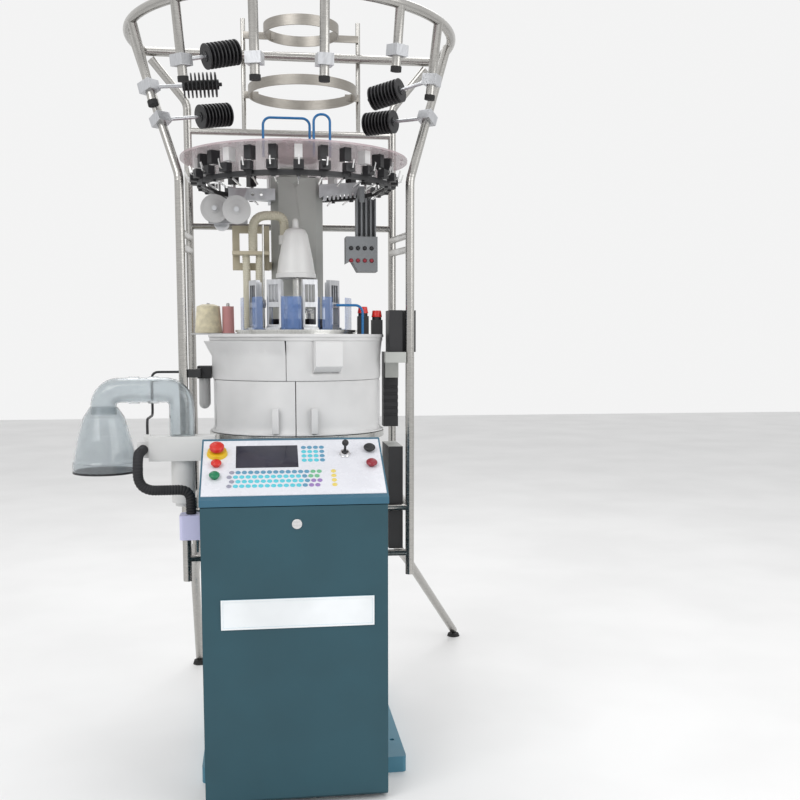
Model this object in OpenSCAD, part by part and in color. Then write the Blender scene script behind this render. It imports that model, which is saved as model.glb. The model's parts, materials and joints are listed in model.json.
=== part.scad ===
// Computerised circular sock knitting machine with its yarn creel.
// The knitting head turns about the Z axis, the floor is Z = 0 and the front faces -Y.

/* [Base and pedestal] */
// Width of the base plate
base_w = 532; // [500:2:580]
// Depth of the base plate in front of the head axis
base_front = 330; // [310:2:345]
// Depth of the base plate behind the head axis
base_rear = 370; // [340:2:420]
// Thickness of the base plate
base_t = 43; // [32:1:54]
// Height of the screw feet under the cabinet front
foot_h = 8; // [5:1:14]
// Width and depth of the pedestal
ped_w = 300; // [280:2:320]
// Wall of the pedestal
ped_wall = 12; // [8:1:16]

/* [Cabinet] */
// Width of the control cabinet
cab_w = 450; // [420:2:480]
// Depth of the control cabinet
cab_d = 245; // [235:1:255]
// Distance of the cabinet front from the head axis
cab_front = 485; // [480:1:500]
// Sideways place of the cabinet centre
cab_cx = -25; // [-40:1:0]
// Height of the cabinet without its console
cab_h = 746; // [720:1:770]
// Sheet thickness of the cabinet
cab_wall = 3; // [2:0.5:5]
// Thickness of the door tray
door_t = 18; // [14:1:22]
// Gap round the door
door_gap = 2; // [1.5:0.5:4]

/* [Console] */
// Slope of the key panel
console_tilt = 31; // [25:0.5:35]
// Length of the slope
console_len = 240; // [230:1:260]
// Height of the front lip
lip_h = 16; // [10:1:24]
// Thickness of the white key panel
panel_t = 2; // [1:0.5:4]
// Travel of the push buttons
button_travel = 4; // [2:0.5:6]
// Radius of a push button shaft
button_shaft_r = 8; // [6:0.5:9]
// Radius of the small round keys
key_r = 6; // [4:0.25:6.5]
// Distance between neighbouring keys
key_pitch = 15.2; // [14.5:0.1:16]

/* [Knitting head] */
// Height of the table plate that carries the head
table_z = 870; // [850:1:880]
// Thickness of the table plate
table_t = 16; // [12:1:20]
// Outer radius of the white housing
shell_r = 232; // [226:1:238]
// Wall of the white housing
shell_wall = 4; // [3:0.5:6]
// Height of the doors of the lower tier
skirt_h = 145; // [135:1:150]
// Height of the covers of the upper tier
upper_h = 104; // [96:1:110]
// Radius of the bed plate
bed_r = 245; // [240:1:255]
// Thickness of the bed plate
bed_t = 18; // [12:1:24]
// Radius of the head plate
head_r = 170; // [160:1:180]
// Thickness of the head plate
head_t = 12; // [8:1:16]
// Radius of the needle cylinder
needle_r = 50; // [45:1:54]
// Number of needle slots
needle_n = 56; // [40:4:64]
// Tooth size of the two gears, as pitch diameter over teeth
gear_m = 2; // [1.9:0.05:2.1]

/* [Column and disc] */
// Width of the grey column
col_w = 148; // [130:1:160]
// Depth of the grey column
col_d = 110; // [90:1:130]
// Distance of the column front behind the head axis
col_front = 75; // [70:1:90]
// Height of the clear yarn disc above the floor
disc_z = 1627; // [1600:1:1660]
// Radius of the clear yarn disc
disc_r = 312; // [290:1:330]
// Thickness of the clear yarn disc
disc_t = 5; // [3:0.5:8]
// Number of yarn finger units round the disc
finger_n = 26; // [18:1:30]
// Bottom radius of the white bell hood
bell_r = 54; // [50:1:60]

/* [Creel] */
// Radius of the bright steel tube
tube_r = 12; // [10:0.5:14]
// Distance of the uprights from the middle
upright_x = 308; // [300:1:320]
// Distance of the rear uprights behind the head axis
rear_y = 280; // [260:1:300]
// Height of the top ring
ring_z = 1980; // [1900:5:2050]
// Radius of the top ring
ring_r = 451; // [440:1:460]
// Radius of the ribs of the cone holders
holder_r = 32; // [26:1:38]
// Ribs on each cone holder
holder_ribs = 9; // [6:1:11]

/* [Sock outlet] */
// Bottom radius of the clear sock jar
jar_r = 83; // [75:1:90]
// Height of the clear sock jar
jar_h = 172; // [160:1:210]
// Outer radius of the clear duct
duct_r = 33; // [28:1:36]
// Wall of the clear parts
clear_wall = 3; // [2:0.5:4]

/* [Hidden] */
$fn = 48;
seat = 0.3;            // gap between pieces that seat on each other
run = 0.05;            // radial clearance of a shaft in its hole
teal = [0.17, 0.33, 0.38];
base_top = base_t;
cab_x0 = cab_cx - cab_w / 2;
cab_rear = cab_front - cab_d;
door_rear = cab_front - door_t;
hinge_r = 2.5;         // radius of the door hinge pins
hinge_in = 6;          // distance of the hinge axis from the door edges
slope_y = console_len * cos(console_tilt);
slope_z = console_len * sin(console_tilt);
console_z = cab_h + lip_h;
table_top = table_z + table_t;
skirt_z = table_top + seat;
upper_z = skirt_z + skirt_h + seat;
bed_z = upper_z + upper_h + seat;
bed_top = bed_z + bed_t;
head_top = bed_top + head_t;
split_a = -3;          // bearing of the split between the two skirt doors
skirt_a = 75;          // bearing of the outer edge of the skirt doors
gear_n = 84;           // teeth of the cylinder gear, a multiple of four
pinion_n = 20;         // teeth of the pinion
gear_z = table_top + 60;
gear_t = 16;
gear_r = gear_n * gear_m / 2;
pinion_r = pinion_n * gear_m / 2;
gear_dist = gear_r + pinion_r;
pinion_a = 90;         // the pinion lies behind the cylinder, at +Y
hub_r = 64;            // radius of the bearing hubs of the head frame
sleeve_r = needle_r - 10;   // lower sleeve of the needle cylinder
bore_r = needle_r + 3;
pillar_d = 135;        // distance of the head frame's pillars from the axis
cyl_top = head_top + 46;
dial_z = cyl_top + 6;
bell_z = 1310;
bell_h = 137;
front_y = -100;
col_cx = 8;            // sideways place of the column
post_r = 7;
ring_cy = 111;         // centre of the top ring behind the head axis
ring_back = rear_y - post_r - tube_r - 1 - seat;   // straight rear bar of the ring, against the posts
ring_a = asin((ring_back - ring_cy) / ring_r);
upright_foot = 480;
flare_z = 1570;        // where the front uprights bend outwards
flare_rear_z = 1840;   // where the rear uprights bend outwards
bar_top_z = 1760;
bar_mid_z = 1480;
cross_z = [542, 671];
post_x = [-140, 204];
jar_x = -511;
jar_y = -150;
jar_z = 791;
duct_z = jar_z + jar_h + 44;
elbow_x = -310;

// Stands its children on point a with their +Z towards point b.
module along(a, b) {
  d = b - a;
  translate(a) rotate([0, acos(d.z / norm(d)), atan2(d.y, d.x)]) children();
}

// A straight round bar from point a to point b.
module bar(a, b, r) {
  along(a, b) cylinder(r = r, h = norm(b - a));
}

function unit(v) = v / norm(v);
function turn(a, b) = acos(max(-1, min(1, unit(a) * unit(b))));

// A round tube along a list of points, with a true bend of radius bend at each inner point.
module bent_tube(pts, r, bend) {
  n = len(pts);
  cut = [for (i = [0:n - 1])
    (i == 0 || i == n - 1) ? 0 : bend * tan(turn(pts[i] - pts[i - 1], pts[i + 1] - pts[i]) / 2)];
  for (i = [0:n - 2]) {
    d = unit(pts[i + 1] - pts[i]);
    bar(pts[i] + d * cut[i], pts[i + 1] - d * cut[i + 1], r);
  }
  for (i = [1:n - 2]) {
    d1 = unit(pts[i] - pts[i - 1]);
    d2 = unit(pts[i + 1] - pts[i]);
    a = turn(d1, d2);
    if (a > 0.5) {
      c = pts[i] + unit(d2 - d1) * bend / cos(a / 2);
      x = unit(pts[i] - d1 * cut[i] - c);
      z = cross(x, d1);
      multmatrix([[x.x, d1.x, z.x, c.x], [x.y, d1.y, z.y, c.y], [x.z, d1.z, z.z, c.z], [0, 0, 0, 1]])
        rotate_extrude(angle = a) translate([bend, 0]) circle(r = r, $fn = 24);
    }
  }
}

// Points along a bent route: each inner point becomes an arc of radius bend in n steps.
function arc_steps(a, b, c, bend, n) = let (d1 = unit(b - a), d2 = unit(c - b), t = turn(d1, d2))
  t < 2 ? [b] : let (o = b + unit(d2 - d1) * bend / cos(t / 2), x = unit(b - d1 * bend * tan(t / 2) - o))
  [for (k = [0:n]) o + bend * (x * cos(t * k / n) + d1 * sin(t * k / n))];
function route(pts, bend, n) = concat([pts[0]],
  [for (i = [1:len(pts) - 2]) each arc_steps(pts[i - 1], pts[i], pts[i + 1], bend, n)], [pts[len(pts) - 1]]);

// A round tube along a bent route, as short straight lengths that meet in round knuckles.
knuckle = 0.2;
module tube_run(pts, r, bend, n = 3) {
  p = route(pts, bend, n);
  for (i = [0:len(p) - 2]) bar(p[i], p[i + 1], r);
  for (i = [1:len(p) - 2]) translate(p[i]) sphere(r = r + knuckle);
}

// A ring-shaped piece of wall between two bearings, from a list of [radius, height] points.
// Bearing 0 is the front (-Y) and it grows towards +X.
module arc_wall(profile, a0, a1) {
  rotate([0, 0, a0 - 90]) rotate_extrude(angle = a1 - a0, $fn = 96) polygon(profile);
}

// Puts its children at a bearing and radius, turned so that their +X points outwards.
module at_bearing(a, r, z = 0) {
  rotate([0, 0, a - 90]) translate([r, 0, z]) children();
}

// A box with rounded upright corners, from its lowest corner.
module soft_box(size, r) {
  translate([r, r, 0]) linear_extrude(size.z) offset(r = r, $fn = 24) square([size.x - 2 * r, size.y - 2 * r]);
}

// The same with true arcs, for pieces that carry holes.
module round_rect(w, d, r) {
  union() {
    translate([-w / 2 + r, -d / 2]) square([w - 2 * r, d]);
    translate([-w / 2, -d / 2 + r]) square([w, d - 2 * r]);
    for (x = [-1, 1]) for (y = [-1, 1]) translate([x * (w / 2 - r), y * (d / 2 - r)]) circle(r = r);
  }
}

// The local frame of the key panel: x to the right, y up the slope, z out of the panel.
module on_panel() {
  translate([cab_cx, -cab_front, console_z]) rotate([console_tilt, 0, 0]) children();
}

// Places on the key panel, [x, y] in its own frame.
estop_at = [-187, 178];
stop_at = [-188, 131];
start_at = [-191, 84];
black_at = [195, 186];
red_at = [195, 124];
toggle_at = [131, 168];
display_at = [-64, 165];
pad_at = [28, 147];
board_at = [-150, 49];

// Steel plate that the whole machine stands on, with four fixing holes behind the cabinet.
base_hole_x = base_w / 2 - 24;
base_hole_y = [-base_front + 115, base_rear - 30];
base_hole_r = 6.5;
module base_plate() {
  color([0.2, 0.4, 0.5]) difference() {
    translate([0, (base_rear - base_front) / 2, 0]) linear_extrude(base_t)
      round_rect(base_w, base_front + base_rear, 12);
    for (x = [-1, 1]) for (y = base_hole_y) translate([x * base_hole_x, y, -1])
      cylinder(r = base_hole_r, h = base_t + 2);
  }
}

// Two screw feet under the front of the cabinet.
module cabinet_feet() {
  color("dimgray") for (x = [-1, 1]) translate([cab_cx + x * (cab_w / 2 - 40), -cab_front + 60, 0]) {
    cylinder(r1 = 26, r2 = 20, h = foot_h);
  }
}

// Welded box frame that carries the table, open at the back for the drive.
module pedestal() {
  color([0.23, 0.26, 0.28]) difference() {
    translate([0, 20, base_top]) union() {
      linear_extrude(table_z - base_top) difference() {
        square(ped_w, center = true);
        square(ped_w - 2 * ped_wall, center = true);
      }
      linear_extrude(14) difference() {
        round_rect(ped_w + 50, ped_w + 50, 12);
        square(ped_w - 2 * ped_wall, center = true);
      }
      translate([0, 0, table_z - base_top - 12]) linear_extrude(12) difference() {
        round_rect(ped_w + 40, ped_w + 40, 12);
        square(ped_w - 2 * ped_wall, center = true);
      }
    }
    translate([-90, 20 + ped_w / 2 - 40, base_top + 90]) cube([180, 80, 560]);
    for (x = [-1, 1]) translate([x * ped_w / 2 - 40, -45, base_top + 90]) cube([80, 130, 330]);
  }
}

// Upright servo motor hung under the table, with cooling grooves and a bore for the pinion shaft.
motor_r = 45;
motor_h = 181;
shaft_r = 9;
shaft_in = 40;         // depth of the pinion shaft in the motor
module drive_motor() {
  translate([0, gear_dist, 0]) color([0.15, 0.15, 0.16]) difference() {
    union() {
      translate([0, 0, table_z - 10]) linear_extrude(10) round_rect(96, 90, 8);
      difference() {
        translate([0, 0, table_z - 10 - motor_h]) cylinder(r = motor_r, h = motor_h + 1);
        for (a = [10:20:350]) rotate([0, 0, a]) translate([motor_r - 2, -2, table_z - motor_h]) cube([5, 4, motor_h - 30]);
      }
    }
    translate([0, 0, table_z - shaft_in - seat]) cylinder(r = shaft_r + run, h = shaft_in + 2);
  }
}

// Outline of a straight-flanked gear: each tooth has four points.
function gear_points(n, m, fill) = [for (i = [0:n - 1]) for (k = [0:3])
  let (root = n * m / 2 - 1.2 * m, tip = n * m / 2 + 0.85 * m, a = 360 / n,
       w = [-0.36, -0.14, 0.14, 0.36][k] * fill * a, r = [root, tip, tip, root][k])
  [r * cos(i * a + w), r * sin(i * a + w)]];

// Pinion and its shaft, in mesh behind the cylinder gear.
module pinion() {
  color("goldenrod") translate([0, gear_dist, 0]) {
    translate([0, 0, gear_z]) rotate([0, 0, pinion_a + 180 + 180 / pinion_n]) linear_extrude(gear_t)
      polygon(gear_points(pinion_n, gear_m, 0.9));
    translate([0, 0, table_z - shaft_in]) cylinder(r = shaft_r, h = gear_z + gear_t + 6 - table_z + shaft_in);
  }
}

// Round table on the pedestal, with a passage for the motor shaft and the sock tube.
module table_plate() {
  color([0.75, 0.76, 0.76]) difference() {
    translate([0, 0, table_z]) cylinder(r = bed_r, h = table_t, $fn = 96);
    translate([0, 0, table_z - 1]) cylinder(r = sleeve_r + 2, h = table_t + 2);
    translate([0, gear_dist, table_z - 1]) cylinder(r = shaft_r + 0.3, h = table_t + 2);
  }
}

// Folded sheet cabinet, open in front, cut away behind where it stands over the base plate.
hinge_x = cab_x0 + door_gap + hinge_in;
hinge_y = -door_rear - hinge_in + 0.5;
door_bottom = foot_h + 14;
door_top = cab_h - door_gap;
module cabinet_body() {
  color(teal) {
    difference() {
      translate([cab_x0, -door_rear + 3, foot_h]) cube([cab_w, cab_d - door_t - 3, cab_h - foot_h]);
      translate([cab_x0 + cab_wall, -door_rear, foot_h + 8])
        cube([cab_w - 2 * cab_wall, cab_d - door_t - cab_wall, cab_h - foot_h - 8 - cab_wall]);
      translate([cab_x0 - 1, -base_front - 2, -1]) cube([cab_w + 2, cab_d, base_top + seat + 1]);
      translate([cab_cx, -cab_rear - 60, cab_h - 10]) cylinder(r = 30, h = 20);
    }
    // Inner flange round the door opening.
    for (x = [cab_x0 + cab_wall, cab_x0 + cab_w - cab_wall - 14])
      translate([x, -door_rear + 3, door_bottom]) cube([14, 3, cab_h - door_bottom - cab_wall]);
    // Floor of the cabinet over the base plate.
    translate([cab_x0, -base_front - 2 - cab_wall, foot_h]) cube([cab_w, cab_wall, base_top + seat + cab_wall - foot_h]);
    translate([cab_x0, -base_front - 2 - cab_wall, base_top + seat])
      cube([cab_w, base_front + 2 + cab_wall - cab_rear, cab_wall]);
    // Ears with the two hinge pins, above and below the door.
    translate([cab_x0, hinge_y - 6, foot_h]) cube([24, -door_rear + 4 - hinge_y + 6, door_bottom - door_gap - foot_h]);
    translate([hinge_x, hinge_y, foot_h + 4]) cylinder(r = hinge_r, h = door_bottom + 9 - foot_h - 4);
    translate([cab_x0 + cab_wall, hinge_y - 6, door_top + seat])
      cube([20, -door_rear + 4 - hinge_y + 6, cab_h - door_top - seat]);
    translate([hinge_x, hinge_y, door_top - 9]) cylinder(r = hinge_r, h = cab_h - door_top + 9);
  }
}

// Mounting plate with the supply, the servo drive and the terminal blocks behind the door.
module control_chassis() {
  plate_y = -cab_rear - cab_wall - 3;
  color("silver") difference() {
    translate([cab_x0 + 30, plate_y, 130]) cube([cab_w - 60, 3, 540]);
    for (x = [cab_x0 + 44, cab_x0 + cab_w - 44]) for (z = [150, 650])
      translate([x, plate_y - 1, z]) rotate([-90, 0, 0]) cylinder(r = 4, h = 6);
  }
  color([0.3, 0.3, 0.32]) {
    for (i = [0:2]) translate([cab_x0 + 60 + i * 95, plate_y - 110, 420]) cube([75, 110, 200]);
    translate([cab_x0 + 60, plate_y - 80, 180]) cube([150, 80, 160]);
    for (i = [0:7]) translate([cab_x0 + 240 + i * 18, plate_y - 55, 200]) cube([15, 55, 90]);
  }
}

// Folded door tray with returned edges; it turns on the two pins at its left edge.
lock_at = [-21, cab_h - 44];
lock_r = 9;
module cabinet_door() {
  w = cab_w - 2 * door_gap;
  color(teal) difference() {
    translate([cab_x0 + door_gap, -cab_front, door_bottom]) cube([w, door_t, door_top - door_bottom]);
    translate([cab_x0 + door_gap + 2, -cab_front + 2, door_bottom + 2])
      cube([w - 4, door_t, door_top - door_bottom - 4]);
    translate([hinge_x, hinge_y, door_bottom - 1]) cylinder(r = hinge_r + run, h = 4);
    translate([hinge_x, hinge_y, door_top - 3]) cylinder(r = hinge_r + run, h = 4);
    translate([lock_at.x, -cab_front - 1, lock_at.y]) rotate([-90, 0, 0]) cylinder(r = lock_r + run, h = 4);
  }
}

// Bare white plate in a light blue frame on the door.
plate_w = 368;
plate_h = 73;
module front_plate() {
  z = 449;
  color("white") difference() {
    translate([-20 - plate_w / 2, -cab_front - 4, z]) cube([plate_w, 4, plate_h]);
    translate([-20 - plate_w / 2 + 5, -cab_front - 5, z + 5]) cube([plate_w - 10, 2, plate_h - 10]);
  }
}

// Cam lock in the door: barrel, face ring with key slot, and the cam behind.
module door_lock() {
  color("silver") translate([lock_at.x, -cab_front, lock_at.y]) rotate([90, 0, 0]) {
    difference() {
      union() {
        translate([0, 0, -25]) cylinder(r = lock_r, h = 26);
        translate([0, 0, seat]) cylinder(r = lock_r + 3, h = 3);
      }
      translate([-1, -5, 1.5]) cube([2, 10, 4]);
    }
    translate([0, 0, -27]) linear_extrude(3) union() {
      circle(r = 8);
      translate([-6, 0]) square([12, 26]);
    }
  }
}

// Sloping console shell on top of the cabinet, open below.
console_rear = 18;
module console_outline(inset) {
  polygon([
    [-cab_front + inset, cab_h - (inset > 0 ? 5 : 0)],
    [-cab_front + inset, console_z - inset * 0.72],
    [-cab_front + slope_y - inset * 0.2, console_z + slope_z - inset * 1.1],
    [-cab_front + slope_y + console_rear - inset, console_z + slope_z - inset * 1.1],
    [-cab_rear - inset, console_z + slope_z - 50],
    [-cab_rear - inset, cab_h - (inset > 0 ? 5 : 0)]
  ]);
}
module console_housing() {
  color([0.18, 0.38, 0.48]) difference() {
    translate([cab_x0 - 1, 0, 0]) rotate([90, 0, 90]) linear_extrude(cab_w + 2) console_outline(0);
    translate([cab_x0 + 2, 0, 0]) rotate([90, 0, 90]) linear_extrude(cab_w - 4) console_outline(3);
    on_panel() {
      for (p = [estop_at, stop_at, start_at, black_at, red_at]) translate([p.x, p.y, -12])
        cylinder(r = button_shaft_r + 3, h = 14);
      translate([toggle_at.x, toggle_at.y, -12]) cylinder(r = 10, h = 14);
    }
  }
}

// White key panel on the slope, drilled for the buttons.
panel_w = 443;
panel_y0 = 14;
panel_l = console_len - 22;
module key_panel() {
  color("white") on_panel() difference() {
    translate([-panel_w / 2, panel_y0, 0]) cube([panel_w, panel_l, panel_t]);
    for (p = [estop_at, stop_at, start_at, black_at, red_at]) translate([p.x, p.y, -1])
      cylinder(r = button_shaft_r + run, h = panel_t + 2);
    translate([toggle_at.x, toggle_at.y, -1]) cylinder(r = 10, h = panel_t + 2);
    translate([display_at.x - 77, display_at.y - 45, 1]) cube([154, 90, panel_t]);
  }
}

// Dark screen let into the panel.
module display() {
  color([0.13, 0.13, 0.18]) on_panel() translate([display_at.x - 76.7, display_at.y - 44.7, 1])
    cube([153.4, 89.4, panel_t - 1 + 0.4]);
}

// Round membrane keys: a pad of sixteen, four long rows, and a narrow column of four.
module one_key() {
  rotate_extrude($fn = 24) polygon([[0, 0], [key_r, 0], [key_r, 1], [key_r - 1.2, 2], [0, 2]]);
}
module key_set() {
  color([0.35, 0.65, 0.8]) on_panel() translate([0, 0, panel_t]) {
    for (i = [0:3]) for (j = [0:3]) translate([pad_at.x + i * key_pitch, pad_at.y + j * 17.5]) one_key();
    for (j = [0:3]) for (i = [0:14]) translate([board_at.x + (j % 2 == 0 ? -6 : 0) + i * key_pitch, board_at.y + j * 17.6])
      one_key();
    for (j = [0:3]) translate([98, board_at.y + j * 17.6]) one_key();
  }
}

// Yellow collar under the emergency stop.
module estop_collar() {
  color("gold") on_panel() translate([estop_at.x, estop_at.y, panel_t]) difference() {
    cylinder(r1 = 26, r2 = 23, h = 10);
    translate([0, 0, -1]) cylinder(r = button_shaft_r + run, h = 12);
  }
}

// Red mushroom button on its shaft, cap r, with rise above the panel.
module push_button(p, cap_r, rise, base) {
  on_panel() translate([p.x, p.y, 0]) union() {
    translate([0, 0, -14]) cylinder(r = button_shaft_r, h = base + button_travel + 16);
    translate([0, 0, base + button_travel + 1]) rotate_extrude()
      polygon([[0, 0], [cap_r - 2, 0], [cap_r, 2], [cap_r, rise - 4], [cap_r - 3, rise - 1], [cap_r - 7, rise], [0, rise]]);
    translate([0, 0, -17]) cylinder(r = button_shaft_r + 2.5, h = 3);
  }
}
module estop_button() { color("red") push_button(estop_at, 18, 14, panel_t + 10); }
module stop_button() { color("red") push_button(stop_at, 13, 9, panel_t); }
module start_button() { color("green") push_button(start_at, 13, 9, panel_t); }
module black_button() { color([0.15, 0.16, 0.2]) push_button(black_at, 15, 9, panel_t); }
module red_button() { color([0.55, 0.12, 0.14]) push_button(red_at, 14, 9, panel_t); }

// Threaded collar of the toggle.
toggle_r = 8.3;        // ball in the collar
module toggle_collar() {
  color("silver") on_panel() translate([toggle_at.x, toggle_at.y, panel_t]) difference() {
    union() {
      cylinder(r = 15, h = 3, $fn = 6);
      cylinder(r = 11.5, h = 9);
    }
    translate([0, 0, -1]) cylinder(r = toggle_r + seat, h = 30);
  }
}

// Toggle lever with a ball knob; it rocks on a cross pin in the collar.
module toggle_lever() {
  color([0.12, 0.12, 0.13]) on_panel() translate([toggle_at.x, toggle_at.y, panel_t]) {
    translate([0, 0, 4]) sphere(r = toggle_r);
    translate([0, 0, 4]) cylinder(r1 = 3.5, r2 = 2.8, h = 30);
    translate([0, 0, 37]) sphere(r = 8.5);
  }
}

// Cast frame between the table and the bed: two bearing hubs, two flanges and four pillars.
flange_t = 10;
module head_frame() {
  top = bed_z - table_top;
  color([0.55, 0.57, 0.58]) translate([0, 0, table_top]) difference() {
    union() {
      cylinder(r = pillar_d + 16, h = flange_t);
      cylinder(r = hub_r, h = 44);
      translate([0, 0, top - flange_t]) cylinder(r = pillar_d + 16, h = flange_t);
      translate([0, 0, top - 40]) cylinder(r = hub_r, h = 40);
      for (a = [45:90:315]) rotate([0, 0, a]) translate([pillar_d, 0, 0]) cylinder(r = 13, h = top);
    }
    translate([0, 0, -1]) cylinder(r = sleeve_r + run, h = 60);
    translate([0, 0, top - 41]) cylinder(r = needle_r + run, h = 43);
    translate([0, gear_dist, -1]) cylinder(r = 14, h = flange_t + 2);
  }
}

// Large gear on the sleeve of the needle cylinder.
module cylinder_gear() {
  color("silver") translate([0, 0, gear_z]) linear_extrude(gear_t) difference() {
    polygon(gear_points(gear_n, gear_m, 0.9));
    circle(r = sleeve_r + 0.02);
    for (a = [15:30:345]) rotate(a) translate([(gear_r + sleeve_r) / 2, 0]) circle(r = 7);
  }
}

// Needle cylinder: a thin tube with upright slots for the needles, on a plain sleeve.
slot_w = 1.4;
slot_d = 3;
slot_z = bed_z + 4;
cyl_bore = sleeve_r - 5;
function slot_points() = [for (i = [0:needle_n - 1]) for (k = [0:3])
  let (w = asin(slot_w / 2 / needle_r), a = i * 360 / needle_n + (k < 2 ? -w : w),
       r = (k == 0 || k == 3) ? needle_r - 0.3 : needle_r - slot_d) [r * cos(a), r * sin(a)]];
module needle_cylinder() {
  color([0.72, 0.73, 0.75]) difference() {
    union() {
      translate([0, 0, table_z + 4]) cylinder(r = sleeve_r, h = bed_z - 46 - table_z - 4);
      translate([0, 0, table_top + 44 + seat]) cylinder(r = sleeve_r + 8, h = gear_z - table_top - 44 - seat);
      translate([0, 0, bed_z - 46]) cylinder(r = needle_r, h = slot_z - bed_z + 46);
      translate([0, 0, slot_z]) linear_extrude(cyl_top - slot_z) polygon(slot_points());
    }
    translate([0, 0, table_z]) cylinder(r = cyl_bore, h = cyl_top - table_z + 1);
  }
}

// Latch needles standing in the slots, with the hooks above the cylinder's rim.
module needles() {
  color([0.85, 0.86, 0.88]) for (i = [0:needle_n - 1]) rotate([0, 0, i * 360 / needle_n])
    translate([needle_r - slot_d + 0.2, 0, slot_z + 2]) rotate([90, 0, 0]) translate([0, 0, -0.5])
      linear_extrude(1) polygon([[0, 0], [3.2, 0], [3.2, 18], [1.6, 20], [1.6, cyl_top - slot_z + 4],
        [2.6, cyl_top - slot_z + 6], [0.6, cyl_top - slot_z + 8], [0, cyl_top - slot_z + 5]]);
}

// Dial above the cylinder with radial slots, on the shaft that comes down out of the bell hood.
dial_n = 28;
dial_shaft_r = 9;
module dial() {
  color([0.7, 0.71, 0.73]) difference() {
    union() {
      translate([0, 0, dial_z]) cylinder(r = needle_r - 6, h = 7);
      translate([0, 0, dial_z + 7]) cylinder(r1 = 34, r2 = 20, h = 14);
      translate([0, 0, dial_z]) cylinder(r = dial_shaft_r, h = bell_z + 84 - dial_z);
    }
    for (a = [0:360 / dial_n:359]) rotate([0, 0, a]) translate([26, -0.7, dial_z + 4.5]) cube([30, 1.4, 6]);
  }
}

// Stationary ring of cam blocks round the needle cylinder.
cam_r = needle_r + 34;
module cam_ring() {
  color([0.22, 0.22, 0.25]) translate([0, 0, head_top]) difference() {
    union() {
      cylinder(r = cam_r, h = 10);
      for (a = [0:30:330]) rotate([0, 0, a]) translate([needle_r + 6, -9, 0]) cube([24, 18, 30]);
    }
    translate([0, 0, -1]) cylinder(r = needle_r + 4, h = 40);
    translate([-cam_r, col_front - seat, -1]) cube([2 * cam_r, cam_r, 40]);
  }
}

// Side hinges of the skirt doors, in the gap between the doors and the fixed shell.
door_end_a = skirt_a - 1;
hinge_a = skirt_a + 0.75;
shell_a = skirt_a + 2.5;
barrel_r = 4.5;
pin_r = 2;
barrel_z = [skirt_z + 34, skirt_z + skirt_h - 34];
module barrel_leaf(a, side, z0, z1) {
  at_bearing(a, shell_r) {
    translate([0, 0, z0]) cylinder(r = barrel_r, h = z1 - z0);
    translate([-3, side > 0 ? 0 : -9, z0]) cube([3, 9, z1 - z0]);
  }
}

// Fixed rear half of the lower housing, with its top flange and the outer knuckles of the hinges.
module housing_shell() {
  color([0.82, 0.82, 0.81]) {
    arc_wall([[shell_r - shell_wall, skirt_z], [shell_r + 12, skirt_z], [shell_r + 12, skirt_z + 2.5],
      [shell_r + 4, skirt_z + 6], [shell_r, skirt_z + 16], [shell_r, skirt_z + skirt_h],
      [shell_r - 30, skirt_z + skirt_h], [shell_r - 30, skirt_z + skirt_h - 4],
      [shell_r - shell_wall, skirt_z + skirt_h - 4]], shell_a, 360 - shell_a);
    for (s = [-1, 1]) {
      barrel_leaf(s * hinge_a, s, skirt_z + 18, barrel_z[0] - seat);
      barrel_leaf(s * hinge_a, s, barrel_z[1] + seat, skirt_z + skirt_h - 4);
      at_bearing(s * hinge_a, shell_r, skirt_z + 18) cylinder(r = pin_r, h = skirt_h - 22);
    }
  }
}

// One curved skirt door: wall, flared foot, moulded loop handle and the middle knuckle of its hinge.
module skirt_door(a0, a1, handle_a, s) {
  lo = skirt_z + 2;
  hi = skirt_z + skirt_h - 1;
  color([0.8, 0.8, 0.79]) difference() {
    union() {
      arc_wall([[shell_r - shell_wall, lo], [shell_r + 13, lo], [shell_r + 13, lo + 2.5], [shell_r + 5, lo + 6],
        [shell_r + 1, lo + 16], [shell_r, lo + 28], [shell_r, hi], [shell_r - shell_wall, hi]], a0, a1);
      at_bearing(handle_a, shell_r - 1, lo + 6) {
        for (z = [0, 56]) translate([0, -6, z]) cube([14, 12, 10]);
        translate([11, -9, 0]) linear_extrude(66) translate([3.5, 9]) round_rect(7, 18, 2.5);
      }
      barrel_leaf(s * hinge_a, -s, barrel_z[0], barrel_z[1]);
    }
    at_bearing(s * hinge_a, shell_r, barrel_z[0] - 1) cylinder(r = pin_r + run, h = barrel_z[1] - barrel_z[0] + 2);
  }
}
module skirt_door_left() { skirt_door(-door_end_a, split_a - 0.3, -15.5, -1); }
module skirt_door_right() { skirt_door(split_a + 0.3, door_end_a, 8.5, 1); }

// Upper covers over the cams: the left one flares, the right one carries a raised boss.
module upper_cover(a0, a1, flare) {
  arc_wall([[shell_r - 4, upper_z], [shell_r + 2, upper_z], [shell_r + 4, upper_z + 10],
    [shell_r + 4, upper_z + upper_h * 0.6], [shell_r + 4 + flare, upper_z + upper_h],
    [shell_r + flare, upper_z + upper_h], [shell_r, upper_z + upper_h * 0.6], [shell_r, upper_z + 10]], a0, a1);
}
module upper_cover_left() {
  color([0.86, 0.86, 0.85]) upper_cover(-170, -9, 22);
}
boss_w = 74;
module upper_cover_right() {
  color([0.84, 0.84, 0.83]) {
    upper_cover(-8.6, 172, 4);
    at_bearing(17, shell_r + 1, upper_z + 22) rotate([90, 0, 0]) translate([0, 0, -boss_w / 2])
      linear_extrude(boss_w) polygon([[0, 0], [6, 0], [26, 16], [26, upper_h - 26], [22, upper_h - 22], [0, upper_h - 22]]);
  }
}

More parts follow.
